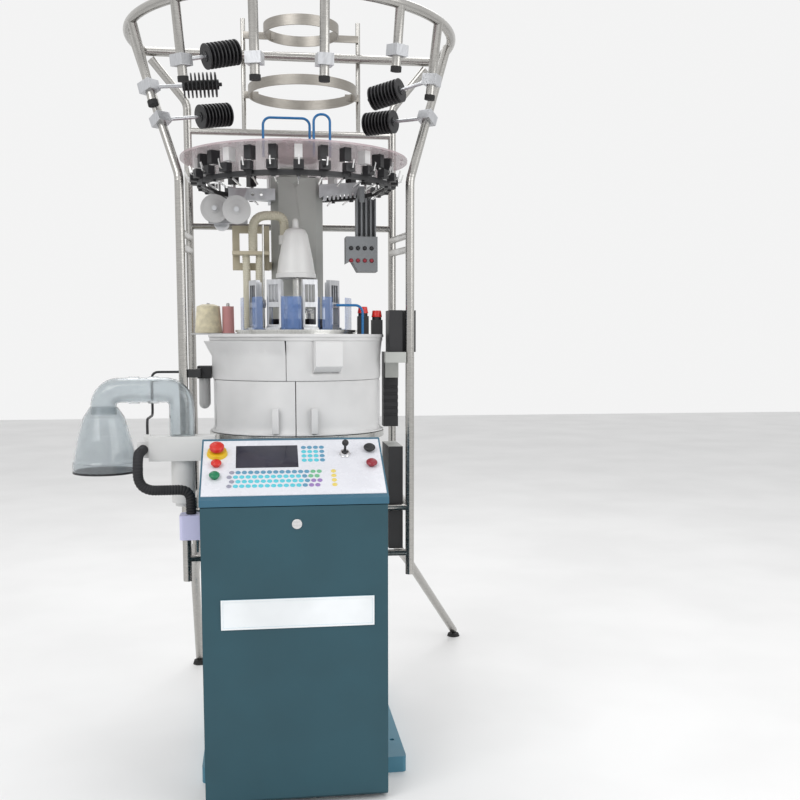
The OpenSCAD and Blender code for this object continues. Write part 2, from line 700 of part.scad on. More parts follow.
// Bed plate under the head, and the smaller head plate on it.
module bed_plate() {
  color([0.72, 0.73, 0.73]) difference() {
    translate([0, 0, bed_z]) union() {
      cylinder(r = bed_r - 3, h = bed_t - 5, $fn = 96);
      translate([0, 0, bed_t - 8]) cylinder(r = bed_r, h = 8, $fn = 96);
    }
    translate([0, 0, bed_z - 1]) cylinder(r = bore_r, h = bed_t + 2);
  }
}
module head_plate() {
  color([0.85, 0.86, 0.86]) translate([0, 0, bed_top]) difference() {
    union() {
      cylinder(r = head_r - 4, h = head_t - 5, $fn = 96);
      translate([0, 0, head_t - 6]) cylinder(r = head_r, h = 6, $fn = 96);
    }
    translate([0, 0, -1]) cylinder(r = bore_r, h = head_t + 2);
    for (a = [195:30:345]) rotate([0, 0, a]) translate([head_r - 12, 0, head_t - 5]) cylinder(r = 3, h = 6);
    // Notch for the foot of the column.
    translate([col_cx - col_w / 2 - 18 - seat, col_front - 5 - seat, -1]) cube([col_w + 36 + 2 * seat, head_r, head_t + 2]);
  }
}

// Four slotted metal yarn-feed frames standing round the cylinder.
feed_a = [-62, -28, 14, 48];
feed_r = 128;
module feed_units() {
  color([0.62, 0.63, 0.66]) for (a = feed_a) at_bearing(a, feed_r, head_top) {
    difference() {
      translate([-9, -21, 0]) cube([18, 42, 134]);
      for (y = [-14, -4.5, 5]) translate([-10, y, 74]) cube([20, 8, 46]);
      translate([-10, -15, 14]) cube([20, 30, 46]);
      translate([-10, -22, 128]) rotate([0, 0, 0]) cube([6, 44, 8]);
    }
    translate([-24, -17, 66]) cube([15, 34, 8]);
    for (y = [-10, 0, 10]) translate([-26, y - 2, 60]) cube([8, 4, 22]);
    translate([-16, -21, 0]) cube([32, 42, 6]);
  }
}

// Clear guards between the feed frames, open at the top.
guard_h = 88;
module needle_guards() {
  color([0.6, 0.75, 0.95, 0.4]) for (g = [[-86, -72], [-52, -38], [-17, 3], [25, 37], [59, 84]])
    translate([0, 0, head_top]) {
      arc_wall([[152, 0], [155, 0], [155, guard_h], [152, guard_h]], g[0], g[1]);
      arc_wall([[104, 0], [107, 0], [107, guard_h], [104, guard_h]], g[0] + 2, g[1] - 2);
      arc_wall([[105, 0], [154, 0], [154, 3], [105, 3]], g[0] + 2, g[1] - 2);
    }
}

// White bell hood over the dial shaft, a turned shell with a nipple and a rim band.
bell_wall = 3;
port_x = -30;
port_y = 36;
port_z = bell_z + 121;
module bell_hood() {
  w = bell_wall;
  color("white") {
    translate([0, 0, bell_z]) rotate_extrude($fn = 64) polygon([
      [bell_r - w, 0], [bell_r + 1.5, 0], [bell_r + 1.5, 12], [bell_r - 1, 14], [bell_r - 6, 50],
      [bell_r - 20, bell_h - 16], [bell_r - 26, bell_h - 5], [bell_r - 34, bell_h], [9, bell_h + 1], [8, bell_h + 22],
      [5, bell_h + 27], [0, bell_h + 28], [0, bell_h - 4], [bell_r - 35, bell_h - 4],
      [bell_r - 24 - w, bell_h - 17], [bell_r - 6 - w, 50], [bell_r - 1 - w, 14]]);
    // Spindle block inside, and the arm back to the column.
    translate([0, 0, bell_z + 62]) difference() {
      cylinder(r = 30, h = 30);
      translate([0, 0, -1]) cylinder(r = dial_shaft_r + run, h = 32);
    }
    translate([-14, 25, bell_z + 66]) cube([28, col_front - 25, 24]);
    // Port of the suction hose on the shoulder.
    translate([port_x, port_y, bell_z + 95]) cylinder(r = 16, h = port_z - bell_z - 95);
  }
}

// Grey column with chamfered front corners; its neck carries the yarn disc.
col_top = disc_z - 28;
neck_r = 42;
module column_outline(inset) {
  w = col_w / 2 - inset;
  polygon([[-w, col_front + 20], [-w + 21, col_front + inset], [w - 21, col_front + inset], [w, col_front + 20],
    [w, col_front + col_d - inset], [-w, col_front + col_d - inset]]);
}
module column() {
  color([0.66, 0.68, 0.68]) difference() {
    union() {
      translate([col_cx, 0, bed_top]) linear_extrude(col_top - bed_top) column_outline(0);
      translate([col_cx, col_front + col_d / 2, bed_top]) linear_extrude(head_t) round_rect(col_w + 36, col_d + 10, 8);
      translate([0, col_front + neck_r + 4, col_top]) cylinder(r = neck_r, h = disc_z - col_top);
    }
    translate([col_cx, 0, bed_top + 20]) linear_extrude(col_top - bed_top - 40) column_outline(6);
    // Oval slot in the right-hand front chamfer and the round dimple high on the front.
    for (z = [1352, 1412]) translate([col_cx + 64, col_front - 10, z]) rotate([-90, 0, -43]) cylinder(r = 9, h = 30);
    translate([col_cx + 55, col_front - 10, 1352]) rotate([0, 0, -43]) translate([0, 0, 0]) cube([18, 30, 60]);
    translate([col_cx - 4, col_front - 1, 1580]) rotate([-90, 0, 0]) cylinder(r = 7, h = 5);
  }
}

// Clear disc with its dome; the finger units hang from its rim.
dome_r = 67;
dome_h = 62;
module yarn_disc() {
  color([0.78, 0.7, 0.74, 0.5]) {
    difference() {
      translate([0, 0, disc_z]) cylinder(r = disc_r, h = disc_t, $fn = 96);
      for (a = [0:360 / finger_n:359]) rotate([0, 0, a]) translate([disc_r - 14, 0, disc_z - 1]) cylinder(r = 4, h = 9);
    }
    translate([0, 0, disc_z + disc_t]) rotate_extrude($fn = 64) polygon(concat([[dome_r - 3, 0], [dome_r, 0]],
      [for (a = [10:10:80]) [dome_r * cos(a), dome_h * sin(a)]], [[0, dome_h], [0, dome_h - 3]],
      [for (a = [80:-10:10]) [(dome_r - 3) * cos(a), (dome_h - 3) * sin(a)]]));
  }
}

// Black carrier ring with a block, a post and a bent yarn finger at each station.
finger_ring_r = 262;
finger_drop = 78;
module finger_unit() {
  translate([-14, -10, finger_drop - 34]) cube([26, 20, 34 - seat]);
  translate([-5, -5, 0]) cube([10, 10, finger_drop - 30]);
  translate([4, -13, finger_drop - 62]) cube([20, 26, 22]);
  rotate([90, 0, 0]) translate([0, 0, -2]) linear_extrude(4)
    polygon([[20, 20], [34, 24], [40, 44], [37, 46], [30, 28], [20, 25]]);
  rotate([90, 0, 0]) translate([0, 0, -2]) linear_extrude(4)
    polygon([[-5, 4], [-40, -14], [-42, -11], [-5, 10]]);
}
module yarn_fingers() {
  z = disc_z - finger_drop;
  color([0.13, 0.13, 0.14]) {
    translate([0, 0, z + 4]) difference() {
      cylinder(r = finger_ring_r + 5, h = 12, $fn = 96);
      translate([0, 0, -1]) cylinder(r = finger_ring_r - 14, h = 14, $fn = 96);
    }
    for (i = [0:finger_n - 1]) rotate([0, 0, (i + 0.5) * 360 / finger_n]) translate([finger_ring_r, 0, z]) finger_unit();
  }
}

// Blue air tubes: two loops over the disc and one at the head.
air_r = 3.5;
disc_top = disc_z + disc_t;
air_head_at = head_top + 67;
air_loops = [
  [[-86, -40, disc_top + seat], [-86, -40, 1738], [40, -40, 1738], [40, -40, disc_top + 38.3]],
  [[50, -60, disc_top + seat], [50, -60, 1746], [94, -60, 1746], [94, -60, disc_top + seat]],
  [[178, -91.7, bed_top + seat], [178, -91.7, air_head_at], [105.3, -91.7, air_head_at]]
];
module air_tubes() {
  color([0.1, 0.45, 0.75]) for (p = air_loops) bent_tube(p, air_r, 20);
}

// Aluminium bar with the feeder motor on the left, toothed bracket on the right.
arm_z = 1530;
wheel_at = [[-220, -34, 1495], [-160, -64, 1489]];
wheel_r = 38;
module feeder_arms() {
  arm_y = col_front - 30;
  color([0.78, 0.79, 0.8]) {
    difference() {
      translate([-184, arm_y, arm_z]) cube([130, 28, 32]);
      for (x = [-165:24:-70]) translate([x, arm_y - 1, arm_z + 16]) rotate([-90, 0, 0]) cylinder(r = 5, h = 34);
    }
    translate([col_cx - col_w / 2 - 8, arm_y + 28, arm_z - 6]) cube([8, 42, 38]);
    // Bearing plate and the two wheel axles.
    translate([-240, arm_y - 12, arm_z - 68]) cube([108, 12, 68]);
    translate([-184, arm_y - 12, arm_z - 1]) cube([52, 12, 30]);
    for (w = wheel_at) {
      translate(w - [0, 6, 0]) rotate([-90, 0, 0]) cylinder(r = 4, h = arm_y - w.y + 4);
      translate(w + [0, 26 + seat, 0]) rotate([-90, 0, 0]) cylinder(r = 9, h = arm_y - 12 - w.y - 26);
      translate(w - [0, 6, 0]) rotate([-90, 0, 0]) cylinder(r = 7, h = 6 - seat);
    }
    translate([-206, arm_y, arm_z - 60]) rotate([-90, 0, 0]) cylinder(r = 22, h = 60);
    // Right-hand bracket with teeth along its lower edge.
    translate([col_cx + col_w / 2 - 12, col_front - 8, arm_z + 4]) rotate([90, 0, 0]) linear_extrude(10) polygon(concat(
      [[0, 44], [0, 6]], [for (i = [0:7]) for (k = [0:3]) [14 + i * 12 + [0, 2, 7, 9][k], [12, 0, 0, 12][k] + i * 1.5]],
      [[116, 28], [116, 52]]));
    translate([col_cx + col_w / 2, col_front - 8, arm_z + 8]) cube([8, 40, 36]);
  }
}

// Wheel that feeds the elastic yarn, a round disc with a hub and two rims.
module feeder_wheel(at) {
  color([0.8, 0.8, 0.8]) translate(at) rotate([-90, 0, 0]) rotate_extrude($fn = 64) polygon([
    [4 + run, 0], [12, 0], [12, 3], [wheel_r - 10, 5], [wheel_r, 4], [wheel_r, 7], [wheel_r - 12, 9],
    [wheel_r - 12, 15], [wheel_r, 17], [wheel_r, 20], [wheel_r - 10, 19], [12, 21], [12, 26], [4 + run, 26]]);
}
module feeder_wheel_left() { feeder_wheel(wheel_at[0]); }
module feeder_wheel_right() { feeder_wheel(wheel_at[1]); }

// Ribbed bracket with the bank of air valves hanging on the right.
module valve_bank() {
  color([0.6, 0.61, 0.62]) {
    translate([168, -20, 1363]) difference() {
      cube([56, 34, 168]);
      for (i = [0:3]) translate([5 + i * 13, -1, 60]) cube([8, 22, 112]);
    }
    translate([col_cx + col_w / 2 + 96, -20, 1520]) cube([14, col_front + 2 - seat, 44]);
    translate([138, -40, 1328]) difference() {
      cube([88, 60, 96]);
      for (i = [0:3]) for (j = [0:1]) translate([14 + i * 19, -1, 30 + j * 34]) rotate([-90, 0, 0]) cylinder(r = 6, h = 14);
      translate([-1, -1, -1]) rotate([0, -30, 0]) translate([-30, 0, -40]) cube([60, 70, 60]);
    }
  }
}

// Welded creel stand: bent uprights, rungs, cross bars, posts and splayed legs.
leg_feet = [[-329, 655], [622, 860]];
leg_from_z = 500;
function toward(a, b, d) = a + unit(b - a) * d;
ring_front_x = 440;
ring_front_y = 50;
// Point on the line from a to q where a tube of radius r meets the ring's tube, which runs along t through q.
function meet(a, q, r, t) = let (c = abs(unit(q - a) * unit(t)))
  toward(q, a, (tube_r + 1 + seat + r * c) / sqrt(1 - c * c));
function flare_at(s, z) = let (p = [s * upright_x, front_y, flare_z], q = [s * ring_front_x, ring_front_y, ring_z])
  p + (q - p) * (z - flare_z) / (ring_z - flare_z);
function leg_end(i) = [leg_feet[i].x, leg_feet[i].y, 22];
function leg_start(s) = [s * upright_x, rear_y, leg_from_z];
leg_r = tube_r + 2;
leg_knee = [[-322, rear_y + 120, 380], [380, rear_y + 140, 400]];
// Lowest point of the slanting end of a leg.
function leg_low(i) = let (d = unit(leg_end(i) - leg_knee[i])) leg_end(i).z - leg_r * norm([d.x, d.y]);
module creel_side(s) {
  p = [s * upright_x, front_y, flare_z];
  q = [s * upright_x, rear_y, flare_rear_z];
  tube_run([[p.x, p.y, upright_foot], p, meet(p, flare_at(s, ring_z), tube_r, [s * (ring_cy - ring_front_y), ring_front_x, 0])],
    tube_r, 60);
  tube_run([[q.x, q.y, upright_foot], q, meet(q, [s * ring_r * cos(ring_a), ring_back, ring_z], tube_r, [1, 0, 0])],
    tube_r, 50);
  for (z = [1386, 1425, cross_z[1]])
    bar([s * upright_x, front_y, z], [s * upright_x, rear_y, z + (z > 1000 ? 20 : 0)], tube_r - 2);
  for (z = cross_z) bar([s * (ped_w / 2 + 4), front_y, z], [s * upright_x, front_y, z], tube_r - 3);
  for (z = cross_z) translate([s * (ped_w / 2 + 4), front_y, z]) rotate([0, 90, 0]) cylinder(r = 24, h = 8, center = true);
}
module creel_frame() {
  color([0.72, 0.72, 0.7]) {
    for (s = [-1, 1]) creel_side(s);
    for (z = [bar_top_z, bar_mid_z, cross_z[0]])
      bar([-upright_x, rear_y, z], [upright_x, rear_y, z], tube_r - 2);
    for (x = post_x) bar([x, rear_y, bar_top_z], [x, rear_y, 2090], post_r);
    tube_run([leg_start(-1), leg_knee[0], leg_end(0)], leg_r, 120);
    tube_run([leg_start(1), leg_knee[1], leg_end(1)], leg_r, 120);
  }
}

// Bent top ring with its straight rear bar and the drop tubes welded under it.
drop_a = [-160.8, -131.5, -103.9, -81.7, -54.8, -32.8];
drop_len = [217, 184, 200, 200, 150, 188];
drop_in = [56, 22, 14, 14, 16, 24];
drop_fwd = [62, 0, 0, 0, 0, 0];   // forward lean of the lower ends
function ring_at(a, r, z) = [r * cos(a), ring_cy + r * sin(a), z];
function drop_top(i) = ring_at(drop_a[i], ring_r, ring_z);
function drop_end(i) = ring_at(drop_a[i], ring_r - drop_in[i], ring_z - drop_len[i]) - [0, drop_fwd[i], 0];
module top_ring() {
  color([0.76, 0.76, 0.74]) {
    translate([0, ring_cy, ring_z]) rotate([0, 0, 180 - ring_a]) rotate_extrude(angle = 180 + 2 * ring_a, $fn = 120)
      translate([ring_r, 0]) circle(r = tube_r + 1, $fn = 24);
    bar([-ring_r * cos(ring_a), ring_back, ring_z], [ring_r * cos(ring_a), ring_back, ring_z], tube_r + 1);
    for (s = [-1, 1]) translate([s * ring_r * cos(ring_a), ring_back, ring_z]) sphere(r = tube_r + 1 + knuckle);
    for (i = [0:5]) bar(drop_top(i), drop_end(i), tube_r);
  }
}

// Black rubber caps on the drop tubes and rubber feet on the legs.
module rubber_caps() {
  color([0.1, 0.1, 0.1]) {
    for (i = [0:5]) bar(toward(drop_end(i), drop_top(i), -seat), toward(drop_end(i), drop_top(i), -13), tube_r + 2);
    for (i = [0:1]) {
      e = leg_end(i);
      translate([e.x, e.y, 0]) cylinder(r1 = 24, r2 = 20, h = leg_low(i) - seat);
    }
  }
}

// Two flat strap hoops over the disc, each held by brackets from the posts.
module strap_hoop(c, r, h) {
  translate(c) difference() {
    cylinder(r = r, h = h, $fn = 96);
    translate([0, 0, -1]) cylinder(r = r - 4, h = h + 2, $fn = 96);
  }
}
hoop_y = 215;
module yarn_hoops() {
  color([0.6, 0.6, 0.58]) {
    strap_hoop([30, hoop_y - 10, 2025], 110, 30);
    strap_hoop([33, hoop_y, 1852], 160, 28);
    for (s = [0, 1]) {
      x0 = post_x[s];
      d = s == 0 ? 1 : -1;
      for (z = [[2030, 110, -10], [1858, 160, 0]]) {
        translate([min(x0, x0 + d * (s == 0 ? 33 - z[1] - x0 + 30 : x0 - 33 - z[1] + 30)), rear_y - post_r - 6 - seat, z[0]])
          cube([abs(s == 0 ? 33 - z[1] - x0 + 30 : x0 - 33 - z[1] + 30) + 1, 6, 20]);
      }
    }
  }
}

// Ribbed black cone holders, each on a rod from a clamp block. A clamp on a drop tube has the tube's
// number; -1 and -2 stand for the left and right front uprights.
holders = [[1, [-150, -150, 1876]], [0, [-205, -60, 1815]], [-1, [-180, 60, 1764]],
  [5, [214, -20, 1800]], [-2, [208, 80, 1752]]];
flare_clamp_z = [1688, 1716];
function clamp_from(k) = k >= 0 ? drop_end(k) : flare_at(k == -1 ? -1 : 1, flare_clamp_z[-k - 1]);
function clamp_to(k) = k >= 0 ? drop_top(k) : flare_at(k == -1 ? -1 : 1, ring_z);
holder_l = 92;
function holder_outline(l) = concat([[0, 0], [5, 0], [5, l - holder_l], [13, l - holder_l]],
  [for (i = [0:holder_ribs - 1]) for (k = [0:3])
    [k == 0 || k == 3 ? 13 : holder_r, l - holder_l + 4 + i * (holder_l - 8) / (holder_ribs - 1) + (k < 2 ? -1.8 : 1.8)]],
  [[13, l + 4], [5, l + 4], [5, l + 12], [0, l + 12]]);
module cone_holder(a, b) {
  along(a, b) rotate_extrude() polygon(holder_outline(norm(b - a)));
}
module cone_holders() {
  color([0.12, 0.12, 0.12]) {
    for (h = holders) cone_holder(toward(toward(clamp_from(h[0]), clamp_to(h[0]), 38), h[1], tube_r + 5), h[1]);
    for (k = [-2:5]) along(clamp_from(k), clamp_to(k)) translate([0, 0, 24]) difference() {
      translate([-20, -20, 0]) cube([40, 40, 28]);
      translate([0, 0, -1]) cylinder(r = tube_r + seat, h = 30);
    }
  }
}

// Clear bell jar that the socks drop into, open below where the flap closes it.
jar_neck_r = duct_r;
module sock_jar() {
  w = clear_wall;
  color([0.8, 0.85, 0.88, 0.4]) translate([jar_x, jar_y, jar_z]) rotate_extrude($fn = 64) polygon([
    [jar_r - w, 6], [jar_r, 6], [jar_r, 28], [jar_r - 3, 34], [jar_r - 14, 90], [jar_r - 30, 146], [jar_neck_r + 3, jar_h],
    [jar_neck_r + seat, jar_h], [jar_r - 33, 144], [jar_r - 17, 89], [jar_r - 6, 34], [jar_r - w, 28]]);
  // Ears and pin of the flap hinge.
  color([0.8, 0.85, 0.88, 0.4]) {
    for (y = [-16, 12 + seat]) translate([flap_hinge_x, jar_y + y, jar_z]) rotate([90, 0, 0]) mirror([0, 0, 1])
      linear_extrude(4 - seat) polygon([[-10, 6], [-10, 16], [-2, 16], [4, 8], [4, 0], [-4, 0], [-7, 6]]);
    translate([flap_hinge_x, jar_y - 15, jar_z + 4]) rotate([-90, 0, 0]) cylinder(r = 2, h = 30);
  }
}
// Flap under the jar with its hinge lugs.
flap_hinge_x = jar_x + jar_r + 8;
module jar_flap() {
  color([0.25, 0.26, 0.28]) difference() {
    union() {
      translate([jar_x, jar_y, jar_z]) cylinder(r = jar_r, h = 6 - seat, $fn = 64);
      translate([jar_x + jar_r - 12, jar_y - 12, jar_z]) cube([20, 24, 5]);
      translate([flap_hinge_x, jar_y - 12, jar_z + 4]) rotate([-90, 0, 0]) cylinder(r = 4, h = 24);
    }
    translate([flap_hinge_x, jar_y - 13, jar_z + 4]) rotate([-90, 0, 0]) cylinder(r = 2 + run, h = 26);
  }
}

arm_box_z = 822;
arm_box_h = 64;
duct_end = arm_box_z + arm_box_h + seat;

// Clear duct from the jar over to the elbow, with two collars.
module duct_path(r) {
  bent_tube([[jar_x, jar_y, jar_z + jar_h - 20], [jar_x, jar_y, duct_z], [elbow_x, jar_y, duct_z],
    [elbow_x, jar_y, duct_end]], r, 42);
}
module outlet_duct() {
  color([0.85, 0.88, 0.9, 0.4]) difference() {
    union() {
      duct_path(duct_r);
      for (x = [-445, -395]) translate([x, jar_y, duct_z]) rotate([0, 90, 0]) cylinder(r = duct_r + 2.5, h = 26);
    }
    duct_path(duct_r - clear_wall);
    translate([jar_x, jar_y, jar_z + jar_h - 30]) cylinder(r = duct_r - clear_wall, h = 11);
    translate([elbow_x, jar_y, duct_end - 1]) cylinder(r = duct_r - clear_wall, h = 3);
  }
}

// White arm box under the elbow, the fan below it and the pale lint box on the cabinet side.
lint_at = [-309, -330, 638];
lint_h = 62;
module suction_unit() {
  color([0.88, 0.88, 0.88]) {
    difference() {
      translate([-395, jar_y - 40, arm_box_z]) union() {
        cube([172, front_y - tube_r - seat - jar_y + 40, arm_box_h]);
        translate([-30, 14, 8]) cube([31, 52, 44]);
        // Bracket to the pedestal.
        translate([170, 62, 4]) cube([395 - 170 - ped_w / 2 - seat, 15, 30]);
      }
      translate([elbow_x, jar_y, arm_box_z + 6]) cylinder(r = duct_r - clear_wall, h = 60);
    }
    translate([elbow_x, jar_y, arm_box_z - 114]) cylinder(r = 31, h = 114);
    translate([elbow_x, jar_y, arm_box_z - 124]) cylinder(r = 22, h = 12);
    translate([-409, jar_y - 12, arm_box_z + 8]) cube([16, 24, 60]);
  }
  color([0.8, 0.8, 0.92]) translate(lint_at) soft_box([cab_x0 - seat - lint_at.x, 60, lint_h], 10);
}

// Boxes, servo motor and red-capped valves on the right, with the arm out to the creel.
arm_right_z = 1076;
module electric_boxes() {
  color([0.16, 0.16, 0.17]) {
    // Arm from the housing to the upright.
    translate([shell_r + 6, front_y - 15, arm_right_z]) cube([upright_x - shell_r - 6 - tube_r - seat, 30, 29]);
    translate([shell_r + 20, -98, arm_right_z + 29]) cube([36, 90, 115]);
    translate([shell_r + 55, -84, arm_right_z + 29]) cube([40, 70, 115]);
    // Servo motor in its clamp below the arm.
    translate([shell_r + 16, 8, 890]) difference() {
      cube([42, 44, 142]);
      for (i = [0:4]) translate([-1, -1, 30 + i * 20]) cube([44, 5, 8]);
    }
    translate([shell_r + 16, -30, 1032]) cube([38, 84, arm_right_z + 29 - 1032]);
    // Air valves with their caps, standing on the bed.
    for (p = [[182, -60, 1216], [222, -48, 1206]]) {
      translate([p.x - 15, p.y - 15, bed_top]) cube([30, 30, p.z - bed_top - 12]);
      translate([p.x, p.y, p.z - 12]) cylinder(r = 13, h = 8);
      translate([p.x, p.y, p.z - 4]) cylinder(r1 = 15, r2 = 12, h = 18);
    }
    // Filter bowls on the left of the housing.
    for (y = [-6, 34]) translate([-shell_r - 26, y, 962]) {
      sphere(r = 15);
      cylinder(r = 15, h = 70);
      translate([-18, -19, 70]) cube([38, 38, 34]);
    }
    // Bracket of the filters, against the left front upright.
    translate([-shell_r - 44, front_y - 4, 1038]) cube([12, 80, 22]);
    translate([tube_r + seat - upright_x, front_y - 10, 1038]) cube([upright_x - tube_r - seat - shell_r - 32, 14, 22]);
    // Pneumatic cabinet on the cross bars.
    translate([ped_w / 2 + 100, front_y + tube_r - 3 + seat, cross_z[0] + 10]) cube([40, 150, 290]);
  }
}

// Cone shelf on the bed plate with a cone and a bare tube.
module yarn_cones() {
  color([0.86, 0.82, 0.7]) {
    translate([-251, 150, bed_top + 4]) rotate_extrude() polygon([[8, 0], [40, 0], [40, 3], [34, 78], [20, 82], [16, 84], [8, 84]]);
    translate([-194, 150, bed_top + 4]) rotate_extrude() polygon([[14, 0], [18, 0], [17, 78], [13, 78]]);
    translate([-300, 110, bed_top]) cube([150, 84, 4]);
    for (x = [-251, -194]) translate([x, 150, bed_top]) cylinder(r = 5, h = 92);
  }
}

// Corrugated suction hoses, the arch into the bell, the thick black hose and the cable.
hose_r = 11;
hose_plate_z = 1376;
hose_arch = [[-118, port_y, hose_plate_z + 10 + seat], [-118, port_y, 1486], [port_x, port_y, 1486], [port_x, port_y, port_z + seat]];
side_hose = [[-410, jar_y - 26 - seat, arm_box_z + 30], [-410, lint_at.y + 30, arm_box_z + 30], [-410, lint_at.y + 30, 762],
  [-281, lint_at.y + 30, 762], [-281, lint_at.y + 30, lint_at.z + lint_h + seat]];
cable = [[-401, jar_y + 4, arm_box_z + 68 + seat], [-401, jar_y + 4, 930], [-401, -6, 930], [-401, -6, 1050], [-276 - seat, -6, 1050]];
module hoses() {
  color([0.85, 0.83, 0.76]) {
    bent_tube(hose_arch, hose_r + 2, 40);
    for (p = [[-138, 44], [-100, 44]]) bar([p.x, p.y, head_top + seat], [p.x, p.y, hose_plate_z - seat], hose_r);
  }
  color([0.12, 0.12, 0.12]) {
    bent_tube(side_hose, 13, 44);
    bent_tube(cable, 3.5, 18);
  }
}

// Beige bracket frame on the column with the plate that carries the hoses, and the thin lift rod.
module hose_bracket() {
  color([0.8, 0.77, 0.68]) {
    translate([-176, 84, 1336]) rotate([90, 0, 0]) linear_extrude(20) difference() {
      square([104, 124]);
      translate([20, 20]) square([64, 84]);
    }
    translate([-84, 74, 1340]) cube([84 + col_cx - col_w / 2, 60, 20]);
    translate([-176, 22, hose_plate_z]) cube([104, 43, 10]);
    translate([-cam_r - 6, -6, head_top]) cylinder(r = 3, h = 290);
  }
}

base_plate();
cabinet_feet();
pedestal();
drive_motor();
pinion();
table_plate();
cabinet_body();
control_chassis();
cabinet_door();
front_plate();
door_lock();
console_housing();
key_panel();
display();
key_set();
estop_collar();
estop_button();
stop_button();
start_button();
black_button();
red_button();
toggle_collar();
toggle_lever();
head_frame();
cylinder_gear();
needle_cylinder();
needles();
dial();
cam_ring();
housing_shell();
skirt_door_left();
skirt_door_right();
upper_cover_left();
upper_cover_right();
bed_plate();
head_plate();
feed_units();
needle_guards();
bell_hood();
hoses();
hose_bracket();
column();
yarn_disc();
yarn_fingers();
air_tubes();
feeder_arms();
feeder_wheel_left();
feeder_wheel_right();
valve_bank();
creel_frame();
top_ring();
rubber_caps();
yarn_hoops();
cone_holders();
sock_jar();
jar_flap();
outlet_duct();
suction_unit();
electric_boxes();
yarn_cones();
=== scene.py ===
"""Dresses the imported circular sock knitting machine: finishes, small details, stage and camera."""

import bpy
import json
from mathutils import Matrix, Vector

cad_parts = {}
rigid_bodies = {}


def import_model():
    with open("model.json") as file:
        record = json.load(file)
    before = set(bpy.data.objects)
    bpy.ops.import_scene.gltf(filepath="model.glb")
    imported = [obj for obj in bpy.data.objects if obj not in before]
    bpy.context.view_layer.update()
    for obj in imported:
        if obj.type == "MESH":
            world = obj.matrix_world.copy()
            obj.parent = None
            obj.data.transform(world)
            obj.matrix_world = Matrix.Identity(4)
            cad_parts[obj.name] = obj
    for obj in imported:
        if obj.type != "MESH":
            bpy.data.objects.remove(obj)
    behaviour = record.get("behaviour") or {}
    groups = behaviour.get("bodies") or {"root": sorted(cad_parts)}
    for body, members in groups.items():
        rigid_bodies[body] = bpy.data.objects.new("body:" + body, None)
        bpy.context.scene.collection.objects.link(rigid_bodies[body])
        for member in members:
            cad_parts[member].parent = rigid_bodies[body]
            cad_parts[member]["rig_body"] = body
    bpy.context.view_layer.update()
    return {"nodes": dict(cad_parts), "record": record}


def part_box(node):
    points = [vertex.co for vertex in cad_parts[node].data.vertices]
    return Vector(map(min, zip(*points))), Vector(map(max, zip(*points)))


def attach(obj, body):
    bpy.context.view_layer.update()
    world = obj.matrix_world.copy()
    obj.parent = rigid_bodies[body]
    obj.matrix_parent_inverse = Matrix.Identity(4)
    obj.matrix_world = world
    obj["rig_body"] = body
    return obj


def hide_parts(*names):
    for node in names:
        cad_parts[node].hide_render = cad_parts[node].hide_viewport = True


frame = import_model()

import json
from math import radians

import bmesh
import bpy
import numpy as np
from bpy.props import FloatProperty, FloatVectorProperty, PointerProperty
from bpy.types import Operator, Panel, PropertyGroup
from mathutils import Vector

bl_info = {
    "name": "Circular sock knitting machine",
    "version": (1, 0, 0),
    "blender": (4, 5, 0),
    "location": "View3D > Sidebar > Sock machine",
    "description": "Finishes and small parts for the circular sock knitting machine",
    "category": "Object",
}

NODES = frame["nodes"]
SLOT_OF = {s["node"]: s["material_slot"] for s in frame["record"]["subparts"]}
MM = 0.001
FIXED = "machine"               # body that carries every fixed piece

# Rounding of edges, in metres.
THIN_EDGE = 0.0004              # thin plates and wires
SMALL_EDGE = 0.0006             # buttons, clamps and arms
CAST_EDGE = 0.0008              # castings and the flap
BRACKET_EDGE = 0.001
ARM_BOX_EDGE = 0.0014

# Meshes: what counts as one point and as flat, and from what angle an edge is sharp or rounded.
SAME_POINT = 2e-6
FLAT = radians(0.3)
SKIN_SHARP, PIECE_SHARP = radians(32), radians(40)
ROUND_FROM = radians(40)


def colour(name, about, default):
    """A linear colour that the panel can change."""
    return FloatVectorProperty(name=name, description=about, subtype="COLOR", size=3, min=0, max=1,
                               default=default)


def length(name, about, low, high, default):
    """A length in metres that the panel can change."""
    return FloatProperty(name=name, description=about, unit="LENGTH", min=low, max=high, default=default)


class SockMachineColours(PropertyGroup):
    """Base colours of the painted and moulded pieces, linear."""
    cabinet: colour("Cabinet teal", "Paint of the cabinet and its door", (0.015, 0.068, 0.092))
    console: colour("Console blue", "Paint of the console round the key panel", (0.035, 0.13, 0.2))
    base: colour("Base plate", "Paint of the base plate on the floor", (0.06, 0.2, 0.28))
    housing: colour("Housing grey white", "Enamel of the round housing and its doors", (0.64, 0.64, 0.64))
    column: colour("Column grey", "Paint of the column under the yarn disc", (0.43, 0.44, 0.42))
    steel: colour("Bright steel", "Ground steel of the plates, cylinder and dial", (0.56, 0.56, 0.54))
    hose: colour("Cream hose", "Plastic of the corrugated suction hoses", (0.58, 0.55, 0.44))
    disc: colour("Clear disc", "Tint of the clear yarn disc", (0.5, 0.4, 0.42))


class SockMachineSizes(PropertyGroup):
    """Sizes of the small details."""
    edge: length("Edge round", "Rounding of the folded sheet edges", 0.0002, 0.003, 0.0012)
    rib_pitch: length("Hose rib pitch", "Distance between the ribs of the cream hoses", 0.003, 0.01, 0.0055)
    key_radius: length("Key radius", "Radius of the round keys", 0.004, 0.0065, 0.0063)


